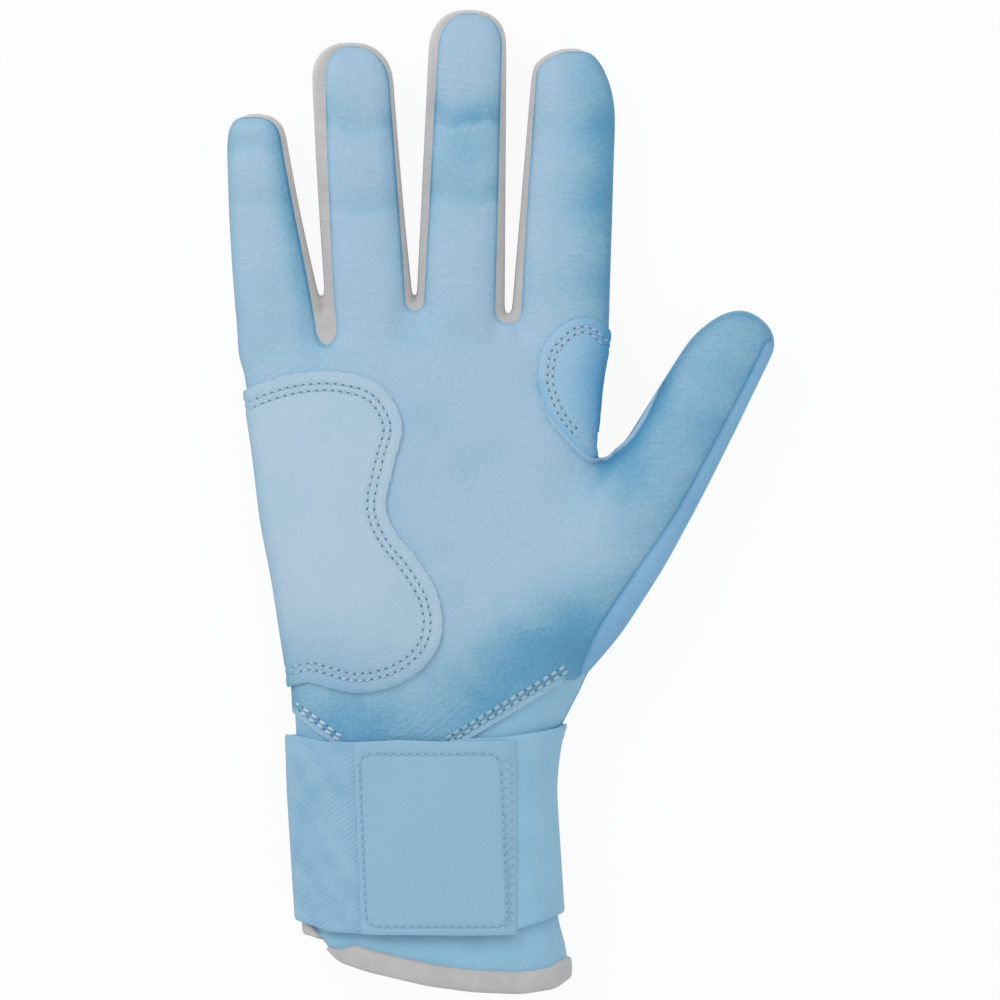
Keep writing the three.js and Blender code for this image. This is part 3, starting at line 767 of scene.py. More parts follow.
bm = lofts()
fillGaps(bm)
form = voxelUnion(bm)
sculpt(form)
print("hand form", len(form.vertices), "points")
bm = bmesh.new()
bm.from_mesh(form)
bpy.data.meshes.remove(form)
cutForm(bm)
print("form cut", len(bm.faces), "faces")
centres = faceCentres(bm)
faceNames = sortFaces(centres)
formNormals, tones, steepness = pressGrooves(bm)
# Kept on each point: the form's normal, the tone of painted shade, and the steepness that paints the stretch
# cloth paler as painted light.
normalLayer = bm.verts.layers.float_vector.new("formNormal")
toneLayer = bm.verts.layers.float.new("tone")
steepLayer = bm.verts.layers.float.new("steep")
for vert, normal, tone, steep in zip(bm.verts, formNormals.tolist(), tones.tolist(), steepness.tolist()):
    vert[normalLayer] = normal
    vert[toneLayer] = tone
    vert[steepLayer] = steep
formSurface = BVHTree.FromBMesh(bm)
print("pieces", len(set(faceNames)))


# Materials. Colours are sRGB and patterns are in millimetres of the piece's own rest place.
def linear(code):
    parts = [int(code[i:i + 2], 16) / 255 for i in (1, 3, 5)]
    return tuple(c / 12.92 if c <= 0.04045 else ((c + 0.055) / 1.055) ** 2.4 for c in parts) + (1.0,)


def addNode(tree, kind, inputs=(), **settings):
    node = tree.nodes.new(kind)
    for key, value in settings.items():
        setattr(node, key, value)
    for key, value in dict(inputs).items():
        if isinstance(value, bpy.types.NodeSocket):
            tree.links.new(value, node.inputs[key])
        else:
            node.inputs[key].default_value = value
    return node


def newMaterial(name):
    material = bpy.data.materials.new(name)
    material.use_nodes = True
    tree = material.node_tree
    shader = tree.nodes["Principled BSDF"]
    place = addNode(tree, "ShaderNodeAttribute", attribute_name="place").outputs["Vector"]
    return material, tree, shader, place


def colourRamp(tree, factor, stops):
    ramp = addNode(tree, "ShaderNodeValToRGB", {"Fac": factor})
    elements = ramp.color_ramp.elements
    for element, (position, code) in zip(elements, (stops[0], stops[-1])):
        element.position, element.color = position, linear(code)
    for position, code in stops[1:-1]:
        elements.new(position).color = linear(code)
    return ramp.outputs["Color"]


def finishShader(tree, shader, colour, bump, roughness, specular):
    tree.links.new(colour, shader.inputs["Base Color"])
    tree.links.new(bump.outputs[0], shader.inputs["Normal"])
    shader.inputs["Roughness"].default_value = roughness
    shader.inputs["Specular IOR Level"].default_value = specular


# Leather is coloured by five tones from pale to dark, picked by the tone attribute, which is painted shade,
# and a random mottle. Sizes are in millimetres: the dye's mottle, the length, width and depth of a crinkle,
# and the areas that crinkle.
leatherSize = {"stops": (0.0, 0.225, 0.445, 0.675, 0.925), "mottle": 22, "mottled": 0.3,
               "crinkle": (7, 0.9, 3), "areas": 13, "foldLength": 10, "foldMiddle": 3, "speck": -0.2,
               "bumpDepth": 0.0005, "specular": 0.35, "ior": 1.45}


def leatherMaterial(name, tones, roughness, grain, strength=0.45, crinkles=1.2, folds=None):
    material, tree, shader, place = newMaterial(name)
    # The tone attribute is painted shade; the mottle adds a random tone on top.
    tone = addNode(tree, "ShaderNodeAttribute", attribute_name="tone").outputs["Fac"]
    mottle = addNode(tree, "ShaderNodeTexNoise",
                     {"Vector": place, "Scale": 1 / leatherSize["mottle"], "Detail": 3, "Roughness": 0.55})
    shade = addNode(tree, "ShaderNodeMath", {0: mottle.outputs["Fac"], 1: leatherSize["mottled"], 2: tone},
                    operation="MULTIPLY_ADD")
    pores = addNode(tree, "ShaderNodeTexVoronoi", {"Vector": place, "Scale": 1 / grain}, feature="SMOOTH_F1")
    stretch = addNode(tree, "ShaderNodeMapping",
                      {"Vector": place, "Scale": tuple(1 / size for size in leatherSize["crinkle"])})
    crinkle = addNode(tree, "ShaderNodeTexNoise",
                      {"Vector": stretch.outputs[0], "Scale": 1.0, "Detail": 2, "Distortion": 0.8})
    areas = addNode(tree, "ShaderNodeTexNoise",
                    {"Vector": place, "Scale": 1 / leatherSize["areas"], "Detail": 1})
    where = addNode(tree, "ShaderNodeMapRange",
                    {"Value": areas.outputs["Fac"], "From Min": 0.4, "From Max": 0.65})
    crinkled = addNode(tree, "ShaderNodeMath", {0: crinkle.outputs["Fac"], 1: where.outputs[0]},
                       operation="MULTIPLY")
    height = addNode(tree, "ShaderNodeMath",
                     {0: crinkled.outputs[0], 1: crinkles, 2: pores.outputs["Distance"]},
                     operation="MULTIPLY_ADD").outputs[0]
    if folds is not None:  # fine lines that fan out from one corner
        away = addNode(tree, "ShaderNodeVectorMath", {0: place, 1: folds["at"]}, operation="DISTANCE")
        near = addNode(tree, "ShaderNodeMapRange",
                       {"Value": away.outputs["Value"], "From Min": folds["reach"],
                        "From Max": leatherSize["foldMiddle"]})
        turned = addNode(tree, "ShaderNodeMapping", {"Vector": place, "Rotation": (0, 0, folds["turn"])})
        long = 1 / leatherSize["foldLength"]
        drawn = addNode(tree, "ShaderNodeMapping",
                        {"Vector": turned.outputs[0], "Scale": (long, 1 / folds["spacing"], long)})
        lines = addNode(tree, "ShaderNodeTexNoise", {"Vector": drawn.outputs[0], "Scale": 1.0, "Detail": 1})
        fold = addNode(tree, "ShaderNodeMath", {0: lines.outputs["Fac"], 1: near.outputs[0]},
                       operation="MULTIPLY")
        height = addNode(tree, "ShaderNodeMath", {0: fold.outputs[0], 1: folds["height"], 2: height},
                         operation="MULTIPLY_ADD").outputs[0]
    speck = addNode(tree, "ShaderNodeMath", {0: height, 1: leatherSize["speck"], 2: shade.outputs[0]},
                    operation="MULTIPLY_ADD")
    colour = colourRamp(tree, speck.outputs[0], list(zip(leatherSize["stops"], tones.split())))
    bump = addNode(tree, "ShaderNodeBump",
                   {"Strength": strength, "Distance": leatherSize["bumpDepth"], "Height": height})
    finishShader(tree, shader, colour, bump, roughness, leatherSize["specular"])
    shader.inputs["IOR"].default_value = leatherSize["ior"]
    return material


# Threads are the spacing of warp and weft in millimetres, drawn about twice as coarse as real so that
# they show.
fabricSize = {"stops": (0.3, 0.7), "mottle": 9, "bumpDepth": 0.0002, "specular": 0.2, "sheen": 0.15}


def fabricMaterial(name, light, dark, roughness, threads, turn=0.0, strength=0.5, contrast=0.03, steep=None):
    material, tree, shader, place = newMaterial(name)
    turned = addNode(tree, "ShaderNodeMapping", {"Vector": place, "Rotation": (0, 0, turn)}).outputs[0]
    split = addNode(tree, "ShaderNodeSeparateXYZ", {"Vector": turned})
    waves = []
    for axis, spacing in zip(("X", "Y"), threads):
        phase = addNode(tree, "ShaderNodeMath", {0: split.outputs[axis], 1: 2 * math.pi / spacing},
                        operation="MULTIPLY")
        waves.append(addNode(tree, "ShaderNodeMath", {0: phase.outputs[0]}, operation="SINE").outputs[0])
    weave = addNode(tree, "ShaderNodeMath", {0: waves[0], 1: waves[1]}, operation="ADD").outputs[0]
    mottle = addNode(tree, "ShaderNodeTexNoise",
                     {"Vector": place, "Scale": 1 / fabricSize["mottle"], "Detail": 4, "Roughness": 0.6})
    level = addNode(tree, "ShaderNodeMath", {0: weave, 1: contrast, 2: mottle.outputs["Fac"]},
                    operation="MULTIPLY_ADD")
    colour = colourRamp(tree, level.outputs[0], list(zip(fabricSize["stops"], (dark, light))))
    # Painted light: where the surface is steep, the colour is mixed towards the given paler one.
    if steep is not None:
        slope = addNode(tree, "ShaderNodeAttribute", attribute_name="steep").outputs["Fac"]
        paintedLight = addNode(tree, "ShaderNodeMix", {0: slope, 6: colour, 7: linear(steep)}, data_type="RGBA")
        colour = paintedLight.outputs[2]
    bump = addNode(tree, "ShaderNodeBump",
                   {"Strength": strength, "Distance": fabricSize["bumpDepth"], "Height": weave})
    finishShader(tree, shader, colour, bump, roughness, fabricSize["specular"])
    shader.inputs["Sheen Weight"].default_value = fabricSize["sheen"]
    return material


# Tanned goatskin: fine pores and soft crinkles, with painted shade from the tone attribute in its creases and
# grooves and on its sides.
palmLeather = leatherMaterial("goatskin palm leather", "#aacbe4 #9cc5df #88b9d6 #68a8cc #5699c2",
                              roughness=0.5, grain=0.75,
                              folds={"at": (1, 5, 27), "reach": 13, "turn": -0.65, "spacing": 0.8,
                                     "height": 1.4})
# Matt synthetic leather: an even, flatter grain and hardly any crinkle.
backLeather = leatherMaterial("matt back leather", "#a6d0ee #9ecdec #94c7ea #88bee4 #7cb4dc",
                              roughness=0.6, grain=0.9, strength=0.3)
# Brushed suede: a fine nap with no shine, on the two sewn patches.
patchLeather = leatherMaterial("suede patch leather", "#b9d4e6 #aacae1 #94bfda #74adcf #5f9fc6",
                               roughness=0.7, grain=0.5, strength=0.35, crinkles=0.2)
crotchLeather = leatherMaterial("suede crotch leather", "#acd0ea #9cc8e6 #82bce2 #5ea8d6 #459bd0",
                                roughness=0.7, grain=0.5, strength=0.35, crinkles=0.2)
# Embossed sheet: a pressed, nearly smooth face with a dull shine.
tabSheet = leatherMaterial("embossed tab sheet", "#98c3de #8fbdd8 #84b4d2 #78abc9 #6ca2c2",
                           roughness=0.6, grain=0.6, strength=0.15, crinkles=0.1)
# Woven lining: a pale open weave inside the glove.
liningCloth = fabricMaterial("white lining cloth", "#d9dee2", "#c3cbd1", roughness=0.9, threads=(0.9, 0.9))
# Knitted stretch cloth: soft and matt, painted paler on steep walls as painted light, against the shade of
# walls that turn away from the light.
stretchCloth = fabricMaterial("grey stretch knit", "#cfcdcd", "#c1bfbf", roughness=0.85, threads=(0.8, 1.1),
                              strength=0.15, steep="#dedcdc")
# Folded tape: a close weave set at a slant.
bindingTape = fabricMaterial("grey woven binding", "#c9c9c9", "#bdbdbd", roughness=0.85, threads=(0.7, 0.7),
                             turn=0.5, strength=0.15)
# Closely knitted cuff cloth and plain webbing: nearly smooth with a faint sheen.
cuffCloth = fabricMaterial("blue cuff cloth", "#9ccbe6", "#92c2de", roughness=0.8, threads=(0.6, 0.6),
                           strength=0.08)
bandWebbing = fabricMaterial("blue plain webbing", "#9ccbe6", "#92c2de", roughness=0.8, threads=(0.7, 0.7),
                             strength=0.08)
# Twill elastic: slanting ribs that catch the light.
twillWebbing = fabricMaterial("blue twill webbing", "#9ec8e2", "#8cbad8", roughness=0.8, threads=(1.1, 6.0),
                              turn=0.95, strength=0.35, contrast=0.05)
# Hook tape: rows of stiff loops, rough to the eye.
hookTape = fabricMaterial("blue hook tape", "#8ab2cd", "#6f9cb9", roughness=0.9, threads=(1.3, 1.3),
                          turn=0.4, strength=1.0)
# Spun polyester thread: pale raised stitches with a slight gloss, and between them dark flat beads, painted
# shade standing for the needle holes.
sewingThread = fabricMaterial("pale sewing thread", "#cfe4f2", "#bcd9ec", roughness=0.6, threads=(0.4, 0.4))
# The V seam's one thread in two copies: brighter on the left as painted light, bluer and darker on the right
# as painted shade.
litVeeThread = fabricMaterial("lit copy of V seam thread", "#e2f0fa", "#d0e5f3", roughness=0.6, threads=(0.4, 0.4))
shadedVeeThread = fabricMaterial("shaded copy of V seam thread", "#b8dcee", "#a6cfe5", roughness=0.6, threads=(0.4, 0.4))
needleShade = fabricMaterial("painted needle hole shade", "#6f9fc0", "#6292b4", roughness=0.9, threads=(0.4, 0.4))
tabShade = fabricMaterial("faint painted needle hole shade", "#98c0da", "#8cb6d2", roughness=0.9, threads=(0.4, 0.4))
print("materials ready")


def thicken(bm, thickness):
    layer = bm.verts.layers.float_vector["formNormal"]
    side = bm.faces.layers.int.new("side")
    for face in bm.faces:
        face[side] = 1
    made = bmesh.ops.extrude_face_region(bm, geom=list(bm.faces), use_keep_orig=True)["geom"]
    rim = set(made)
    for item in made:
        if isinstance(item, bmesh.types.BMVert):
            item.co = item.co - thickness * Vector(item[layer])
        elif isinstance(item, bmesh.types.BMFace):
            item[side] = -1
    for face in bm.faces:
        if face[side] == 1 and any(vert in rim for vert in face.verts):
            face[side] = 0
    bmesh.ops.recalc_face_normals(bm, faces=bm.faces)


def addPiece(name, bm, materials, rides):
    shell = bm.faces.layers.int.get("side")
    isShell = shell is not None
    for face in bm.faces:
        face.smooth = True
        if isShell and face[shell] < 0 and len(materials) > 1:
            face.material_index = 1
    mesh = bpy.data.meshes.new(name)
    bm.to_mesh(mesh)
    bm.free()
    places = valuesOf(mesh.vertices, "co", 3)
    mesh.transform(toRow)
    for material in materials:
        mesh.materials.append(material)
    mesh.attributes.new("place", "FLOAT_VECTOR", "POINT").data.foreach_set("vector", places.ravel())
    if isShell:
        sides = valuesOf(mesh.attributes["side"].data, "value", 1, np.int32)
        normals = valuesOf(mesh.attributes["formNormal"].data, "vector", 3)
        corners = valuesOf(mesh.loops, "vertex_index", 1, np.int32)[:, 0]
        counts = valuesOf(mesh.polygons, "loop_total", 1, np.int32)[:, 0]
        mesh.normals_split_custom_set((normals[corners] * np.repeat(sides, counts, axis=0)).tolist())
        for spent in ("formNormal", "side"):
            mesh.attributes.remove(mesh.attributes[spent])
    obj = bpy.data.objects.new(name, mesh)
    bpy.context.scene.collection.objects.link(obj)
    rides(obj)
    if name in frame["nodes"]:
        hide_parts(name)
    return obj


def rideOn(body):
    return lambda obj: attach(obj, body)


def bendAt():
    return lambda obj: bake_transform(obj)


def ridesFor(name):
    for finger in fingerNames:
        if name.startswith(f"{finger}_base"):
            return bendAt()
        if name.startswith(f"{finger}_tip"):
            return bendAt()
    if name.startswith("thumb_base"):
        return bendAt()
    if name.startswith("thumb_tip"):
        return bendAt()
    return rideOn("hand")


# The palm's edge stands proud of the cuff. Thick is each panel's wall.
panelSize = {"palmLift": 0.3, "liftFall": (16, 45), "cuffDrop": 0.4,
             "thick": {"cuff": 1.4, "stretch": 0.8, "leather": 0.9}}


def finishFor(name):
    thick = panelSize["thick"]
    if name.startswith("cuff"):
        return cuffCloth, "cuff_fabric", thick["cuff"]
    if "sidewall" in name or name.startswith("web"):
        return stretchCloth, "stretch_fabric", thick["stretch"]
    if name.endswith("_back") or name == "back_panel":
        return backLeather, "back_leather", thick["leather"]
    return palmLeather, "palm_leather", thick["leather"]


def panelLift(name, points):
    if name == "palm_panel":
        return panelSize["palmLift"] * (1 - smoothStep(points[:, 1], *panelSize["liftFall"]))
    return -panelSize["cuffDrop"] * np.ones(len(points)) if name.startswith("cuff") else np.zeros(len(points))


def raiseBy(bm, heights):
    layer = bm.verts.layers.float_vector["formNormal"]
    for vert, height in zip(bm.verts, heights.tolist()):
        vert.co = vert.co + height * Vector(vert[layer])


def copyFaces(bm, keep):
    part = bm.copy()
    part.faces.ensure_lookup_table()
    bmesh.ops.delete(part, geom=[part.faces[i] for i in np.flatnonzero(~keep)], context="FACES")
    return part


def makePanels(bm):
    groups = {}
    for name in sorted(set(faceNames) - {""}):
        groups.setdefault(name.split("_")[0], []).append(name)
    for members in groups.values():
        groupKeep = np.isin(faceNames, members)
        groupBm = copyFaces(bm, groupKeep)
        for name in members:
            part = copyFaces(groupBm, faceNames[groupKeep] == name)
            material, slotName, thickness = finishFor(name)
            raiseBy(part, panelLift(name, meshArrays(part)[0]))
            thicken(part, thickness)
            addPiece(name, part, [material, liningCloth], ridesFor(name))
        groupBm.free()


makePanels(bm)
print("panels ready")

# Patches sewn on the palm, copied from its surface. Rows are stitch rows inside the edge.
patchSize = {
    "heel_pad": {
        "edge": [[-56, 81], [-46.3, 87.2], [-34.8, 91.1], [-23, 91.8], [-12.4, 88.4], [-7, 79], [-9.1, 68.6],
                 [-11, 58.5], [-8.5, 51.8], [-3.5, 45.6], [1.4, 37.5], [3.1, 29], [0.9, 21.4], [-6.5, 14.9],
                 [-17.7, 12.1], [-28.9, 14.6], [-42, 19]],
        "floor": 9, "rise": 0, "height": 1.0, "puff": 0.5, "rows": (2.9, 4.6), "rowSpan": 1.0, "wavy": 0.09,
        "leather": patchLeather,
    },
    "crotch_patch": {
        "edge": [[50, 98], [45.8, 101.4], [43.6, 103.4], [41.2, 105], [38.3, 105.6], [34.8, 104.7],
                 [31.5, 102.2], [28.4, 98.3], [27.2, 93.5], [27.2, 88.2], [28.7, 83.4], [31.1, 78.6],
                 [35.4, 73.8], [40.3, 69.9], [46, 78]],
        "floor": 6.5, "rise": 7, "height": 0.6, "puff": 0.2, "rows": (2.3, 3.7), "rowSpan": 0.6, "wavy": 0.05,
        "leather": crotchLeather,
    },
}
patchPress = {  # how a patch is cut out of the palm, and how its seams press into it: depth and width
    "points": 240, "waves": ((67, 1, 0), (97, 0.6, 1)), "margin": 2, "backFrom": 77, "riseFall": (72, 84),
    "merge": 0.08, "sliver": 0.02, "clear": 0.1, "row": (0.22, 0.55), "edge": (0.25, 0.5),
    "puffFull": 14, "faceUp": (0.1, 0.7), "leastNormal": 0.5,
}
stitchSize = {"pitch": 2.0, "length": 1.4, "width": 0.68, "height": 0.5, "hole": 0.75, "holeHeight": 0.16,
              "lean": 0.3, "raised": 0.1, "steepest": 0.12, "around": 8, "rings": 6}
dropHeight = 80  # above every surface that a stitch drops on


def windingOf(edge):
    return np.sign(np.sum(edge[:, 0] * np.roll(edge[:, 1], -1) - np.roll(edge[:, 0], -1) * edge[:, 1]))


def insideDistance(points, edge):
    return curveDistance(points[:, :2], edge, True) * windingOf(edge)


def largestIsland(bm):
    waiting, islands = set(bm.faces), []
    while waiting:
        island, fresh = set(), [waiting.pop()]
        while fresh:
            face = fresh.pop()
            island.add(face)
            beside = {other for edge in face.edges for other in edge.link_faces} & waiting
            waiting -= beside
            fresh.extend(beside)
        islands.append(island)
    return max(islands, key=len)


def aboveFloor(points, size):
    raised = size["rise"] * (1 - smoothStep(points[:, 1], *patchPress["riseFall"]))
    return points[:, 2] - size["floor"] - raised


def patchEdge(size):
    drawn = catmull(size["edge"], True, patchPress["points"])
    turn = np.arange(len(drawn)) / len(drawn) * 2 * math.pi
    wave = size["wavy"] * sum(high * np.sin(rate * turn + start) for rate, high, start in patchPress["waves"])
    outward = np.column_stack([np.roll(drawn[:, 1], 1) - np.roll(drawn[:, 1], -1),
                               np.roll(drawn[:, 0], -1) - np.roll(drawn[:, 0], 1)])
    return drawn, drawn + outward / np.linalg.norm(outward, axis=1)[:, None] * wave[:, None]


def cutPatch(bm, size, edge):
    margin = patchPress["margin"]
    onBack = (faceNames == "back_panel") & (centres[:, 1] > patchPress["backFrom"])
    near = ((faceNames == "palm_panel") | onBack) & (centres[:, 2] > size["floor"] - 1)
    near &= np.all((centres[:, :2] > edge.min(0) - margin) & (centres[:, :2] < edge.max(0) + margin), axis=1)
    near[near] = insideDistance(centres[near], edge) > -margin
    part = copyFaces(bm, near)
    bmesh.ops.subdivide_edges(part, edges=part.edges, cuts=1, use_grid_fill=True)
    fields = (lambda points: insideDistance(points, edge), lambda points: aboveFloor(points, size))
    for field in fields:
        cutAlong(part, field, everywhere)
    middles = faceCentres(part)
    drop = np.any([field(middles) < 0 for field in fields], axis=0)
    part.faces.ensure_lookup_table()
    bmesh.ops.delete(part, geom=[part.faces[i] for i in np.flatnonzero(drop)], context="FACES")
    bmesh.ops.remove_doubles(part, verts=part.verts, dist=patchPress["merge"])
    bmesh.ops.dissolve_degenerate(part, dist=patchPress["sliver"], edges=part.edges)
    kept = largestIsland(part)
    bmesh.ops.delete(part, geom=[face for face in part.faces if face not in kept], context="FACES")
    return part


def makePatch(name, bm):
    size = patchSize[name]
    drawn, edge = patchEdge(size)
    part = cutPatch(bm, size, edge)
    points = meshArrays(part)[0]
    deep = insideDistance(points, edge)
    rise = panelLift("palm_panel", points) + patchPress["clear"] + size["height"]
    faceUp = smoothStep(np.array([vert.normal.z for vert in part.verts]), *patchPress["faceUp"])
    rise += size["puff"] * smoothStep(deep, size["rows"][-1], patchPress["puffFull"]) * faceUp
    presses = [(row, *patchPress["row"]) for row in size["rows"]] + [(0, *patchPress["edge"])]
    for row, depth, width in presses:
        rise -= depth * bell(deep - row, width)
    raiseBy(part, rise)
    part.normal_update()
    layer = part.verts.layers.float_vector["formNormal"]
    for vert in part.verts:
        total = sum((link.other_vert(vert).normal for link in vert.link_edges), vert.normal)
        if total.length > patchPress["leastNormal"]:
            vert[layer] = total.normalized()
    surface = BVHTree.FromBMesh(part)
    thicken(part, size["height"])
    obj = addPiece(name, part, [size["leather"], size["leather"]], rideOn("hand"))
    return obj, drawn, surface


def dropOn(surface, point, lift=0.0):
    place, normal, _, _ = surface.ray_cast(Vector((point[0], point[1], dropHeight)), Vector((0, 0, -1)))
    return (None, None) if place is None else (place + lift * normal, normal)


def bead(bm, place, way, normal, size):
    across = normal.cross(way).normalized()
    axes = [axis * s / 2 for axis, s in zip((way.normalized(), across, normal), size)]
    shape = Matrix.Translation(place) @ Matrix(axes).transposed().to_4x4()
    bmesh.ops.create_uvsphere(bm, u_segments=stitchSize["around"], v_segments=stitchSize["rings"], radius=1,
                              matrix=shape @ Matrix.Rotation(math.pi / 2, 4, "Y"))


def stitchRow(threads, holes, surface, path, lift=0.0, lean=0.0, stitch=stitchSize):
    count = max(2, int(pathLength(path)[-1] / stitch["pitch"]))
    run = evenly(path, False, 2 * count + 1)
    for k in range(1, 2 * count):
        drops = [dropOn(surface, p, lift) for p in run[k - 1:k + 2]]
        if any(place is None or normal.z < stitchSize["steepest"] for place, normal in drops):
            continue
        (before, _), (place, normal), (after, _) = drops
        way = Matrix.Rotation(lean, 3, normal) @ (after - before)
        if k % 2:
            shape = [stitch[key] for key in ("length", "width", "height")]
            bead(threads, place + stitchSize["raised"] * normal, way, normal, shape)
        else:
            # A hole is a dark flat bead: painted shade of a needle hole.
            bead(holes, place, way, normal, [stitch[key] for key in ("hole", "hole", "holeHeight")])


def zigzagRow(threads, holes, surface, sides, low, high, step):
    points = [(sides[k % 2], y) for k, y in enumerate(np.arange(low, high, step))]
    drops = [dropOn(surface, point) for point in points]
    for (start, normal), (end, _) in zip(drops, drops[1:]):
        way, (share, width, height) = end - start, strapSize["zigzagThread"]
        hole = strapSize["zigzagHole"]
        bead(threads, (start + end) / 2, way, normal, (way.length * share, width, height))
        # A hole is a dark flat bead: painted shade of a needle hole.
        bead(holes, start, way, normal, (hole, hole, stitchSize["holeHeight"]))


def offsetEdge(edge, distance):
    ahead = np.roll(edge, -1, axis=0) - np.roll(edge, 1, axis=0)
    inward = np.column_stack([-ahead[:, 1], ahead[:, 0]])
    inward /= np.linalg.norm(inward, axis=1)[:, None]
    moved = edge + inward * distance * windingOf(edge)
    return np.vstack([moved, moved[:1]])


for patch in patchSize:
    pad, edge, surface = makePatch(patch, bm)
    threads, holes = bmesh.new(), bmesh.new()
    for row in patchSize[patch]["rows"]:
        inner = offsetEdge(edge, row)
        span = int(patchSize[patch]["rowSpan"] * len(inner))
        stitchRow(threads, holes, surface, inner[:span], 0.0, stitchSize["lean"])
    addPiece(f"{patch}_stitches", threads, [sewingThread], rideOn("hand"))
    addPiece(f"{patch}_needle_holes", holes, [needleShade], rideOn("hand"))
print("patches sewn")

# Two stitch rows along the palm leather's V, their thread a lit copy on the left and a shaded copy on the
# right.
veeSize = {
    "left": {"ends": [(-35.2, 7.8), (-23.2, -1.4)], "rows": (1.5, 2.6), "width": 0.85},
    "right": {"ends": [(5.3, -2.38), (35.4, 16.1)], "rows": (1.8, 3.1), "width": 1.1},
    "stitch": {"pitch": 2.26, "length": 1.8, "height": 0.8, "hole": 0.8, "holeHeight": 0.2}, "lean": 0.15,
}
for side, thread in (("left", litVeeThread), ("right", shadedVeeThread)):
    threads, holes = bmesh.new(), bmesh.new()
    start, end = np.array(veeSize[side]["ends"])
    stitch = {**veeSize["stitch"], "width": veeSize[side]["width"]}
    step = (end - start) / np.linalg.norm(end - start)
    upward = np.array([-step[1], step[0]])
    for row in veeSize[side]["rows"]:
        path = np.array([start, end]) + upward * row
        stitchRow(threads, holes, formSurface, path, panelSize["palmLift"], veeSize["lean"], stitch)
    addPiece(f"palm_edge_{side}_stitches", threads, [thread], rideOn("hand"))
    addPiece(f"palm_edge_{side}_needle_holes", holes, [needleShade], rideOn("hand"))


def sweep(bm, places, normals, sections):
    places = [Vector(p) for p in places]
    rings = []
    for i, (place, normal, section) in enumerate(zip(places, normals, sections)):
        ahead = (places[min(i + 1, len(places) - 1)] - places[max(i - 1, 0)]).normalized()
        side = Vector(normal).cross(ahead).normalized()
        up = ahead.cross(side)
        rings.append([place + side * s + up * n for s, n in section])
    loft(bm, rings)


def makePiping():
    line, facing = [], []
    for x, y in catmull(pipingSize["path"], False, pipingSize["stations"]):
        place, normal = dropOn(formSurface, (x, y))
        if place is None or normal.z < pipingSize["steepest"]:  # over the edge of the crotch
            place, normal = formSurface.find_nearest(Vector((x, y, pipingSize["crotchZ"])))[:2]
        line.append(place[:])
        facing.append(normal[:])
    line, facing = np.array(line), np.array(facing)
    for run in (line, facing):
        for _ in range(pipingSize["rounds"]):
            run[1:-1] = (run[:-2] + 2 * run[1:-1] + run[2:]) / 4
    facing = [Vector(normal).normalized() for normal in facing]
    u = thumbCoords(line)[0]
    turns = np.linspace(0, 2 * math.pi, pipingSize["sides"], endpoint=False)
    length = pathLength(line)
    toEnd = np.minimum(length / pipingSize["taper"], (length[-1] - length) / pipingSize["endTaper"])
    thick = smoothStep(toEnd, 0, 1)
    radii = pipingSize["thin"] + (pipingSize["radius"] - pipingSize["thin"]) * thick
    circles = [[(r * math.cos(a), r * math.sin(a)) for a in turns] for r in radii]
    split = int(np.argmax((u > thumbRootU) & (np.arange(len(u)) > len(u) / 2)))
    for name, span in (("crotch_piping", slice(0, split + 1)), ("thumb_piping", slice(split, None))):
        tube = bmesh.new()
        toneOf = tube.verts.layers.float.new("tone")
        sweep(tube, line[span], facing[span], circles[span])
        bmesh.ops.recalc_face_normals(tube, faces=tube.faces)
        for vert in tube.verts:
            vert[toneOf] = pipingSize["tone"]
        rides = rideOn("hand") if name == "crotch_piping" else ridesFor("thumb_base")
        addPiece(name, tube, [palmLeather], rides)


makePiping()
print("seams sewn")

# Wrist strap, wound round the sleeve. Edges are (x, y) in the plan view, heights above the sleeve.
strapSize = {
    "top": [(-37, 2.1), (-35.8, 1.8), (-31.8, 1.2), (-27, 0), (-25, -0.3), (-17.4, -0.3), (-7.4, 0.2),
            (2.5, -0.2), (21.2, 0.1)],
    "bottom": [(-37, -43.9), (-33.4, -44.2), (-27.7, -46.2), (-24.7, -47.5), (-14.5, -48.3), (11, -48.5),
               (21.2, -48.3)],
    "bandTop": [(5, 0.2), (10.6, 0.6), (18.5, 0.9), (23.1, 1.6), (28.3, 2.5), (31.9, 3.3), (33.7, 4.3)],
    "bandBottom": [(5, -47.8), (20.7, -47.3), (22, -46.8), (27.8, -45), (33, -42.7)],
    "backTop": [(-37, 1.2), (33.7, 4.1)], "backBottom": [(-37, -43.9), (33.3, -42.6)],
    "band": {"from": 5, "length": 150, "height": 1.5, "thick": 1.7, "short": 0.02},
    "elastic": {"to": -12.5, "length": 34, "height": 2.5, "thick": 2.2, "under": 0.45,
                "underFrom": (-19.4, -17.9), "bend": 9},
    "hook": {"from": 6, "to": 17, "length": 13, "height": 2.15, "thick": 0.5, "inset": 3},
    "tab": {"from": -17.6, "to": 21.2, "length": 39, "height": 2.8, "thick": 0.5, "droop": 0.7,
            "droopFrom": 17.5, "crown": 0.2, "crownFrom": (0.5, 9)},
    "cell": 0.6, "width": 48, "firstWidth": 46, "edgeRound": 0.45, "edgeReach": 1.1,
    "box": (-16.7, 18.5, -46.3, -3.3), "boxCorner": 3.0, "cornerPoints": 7, "boxGroove": 0.15,
    "boxGrooveWidth": 0.7, "boxSkew": 0.042, "zigzag": (19.0, 20.5), "zigzagStep": 1.15,
    "zigzagThread": (0.9, 0.5, 0.4), "zigzagHole": 0.6,
}
hingeZ = handPoint("strap_swing")[2]


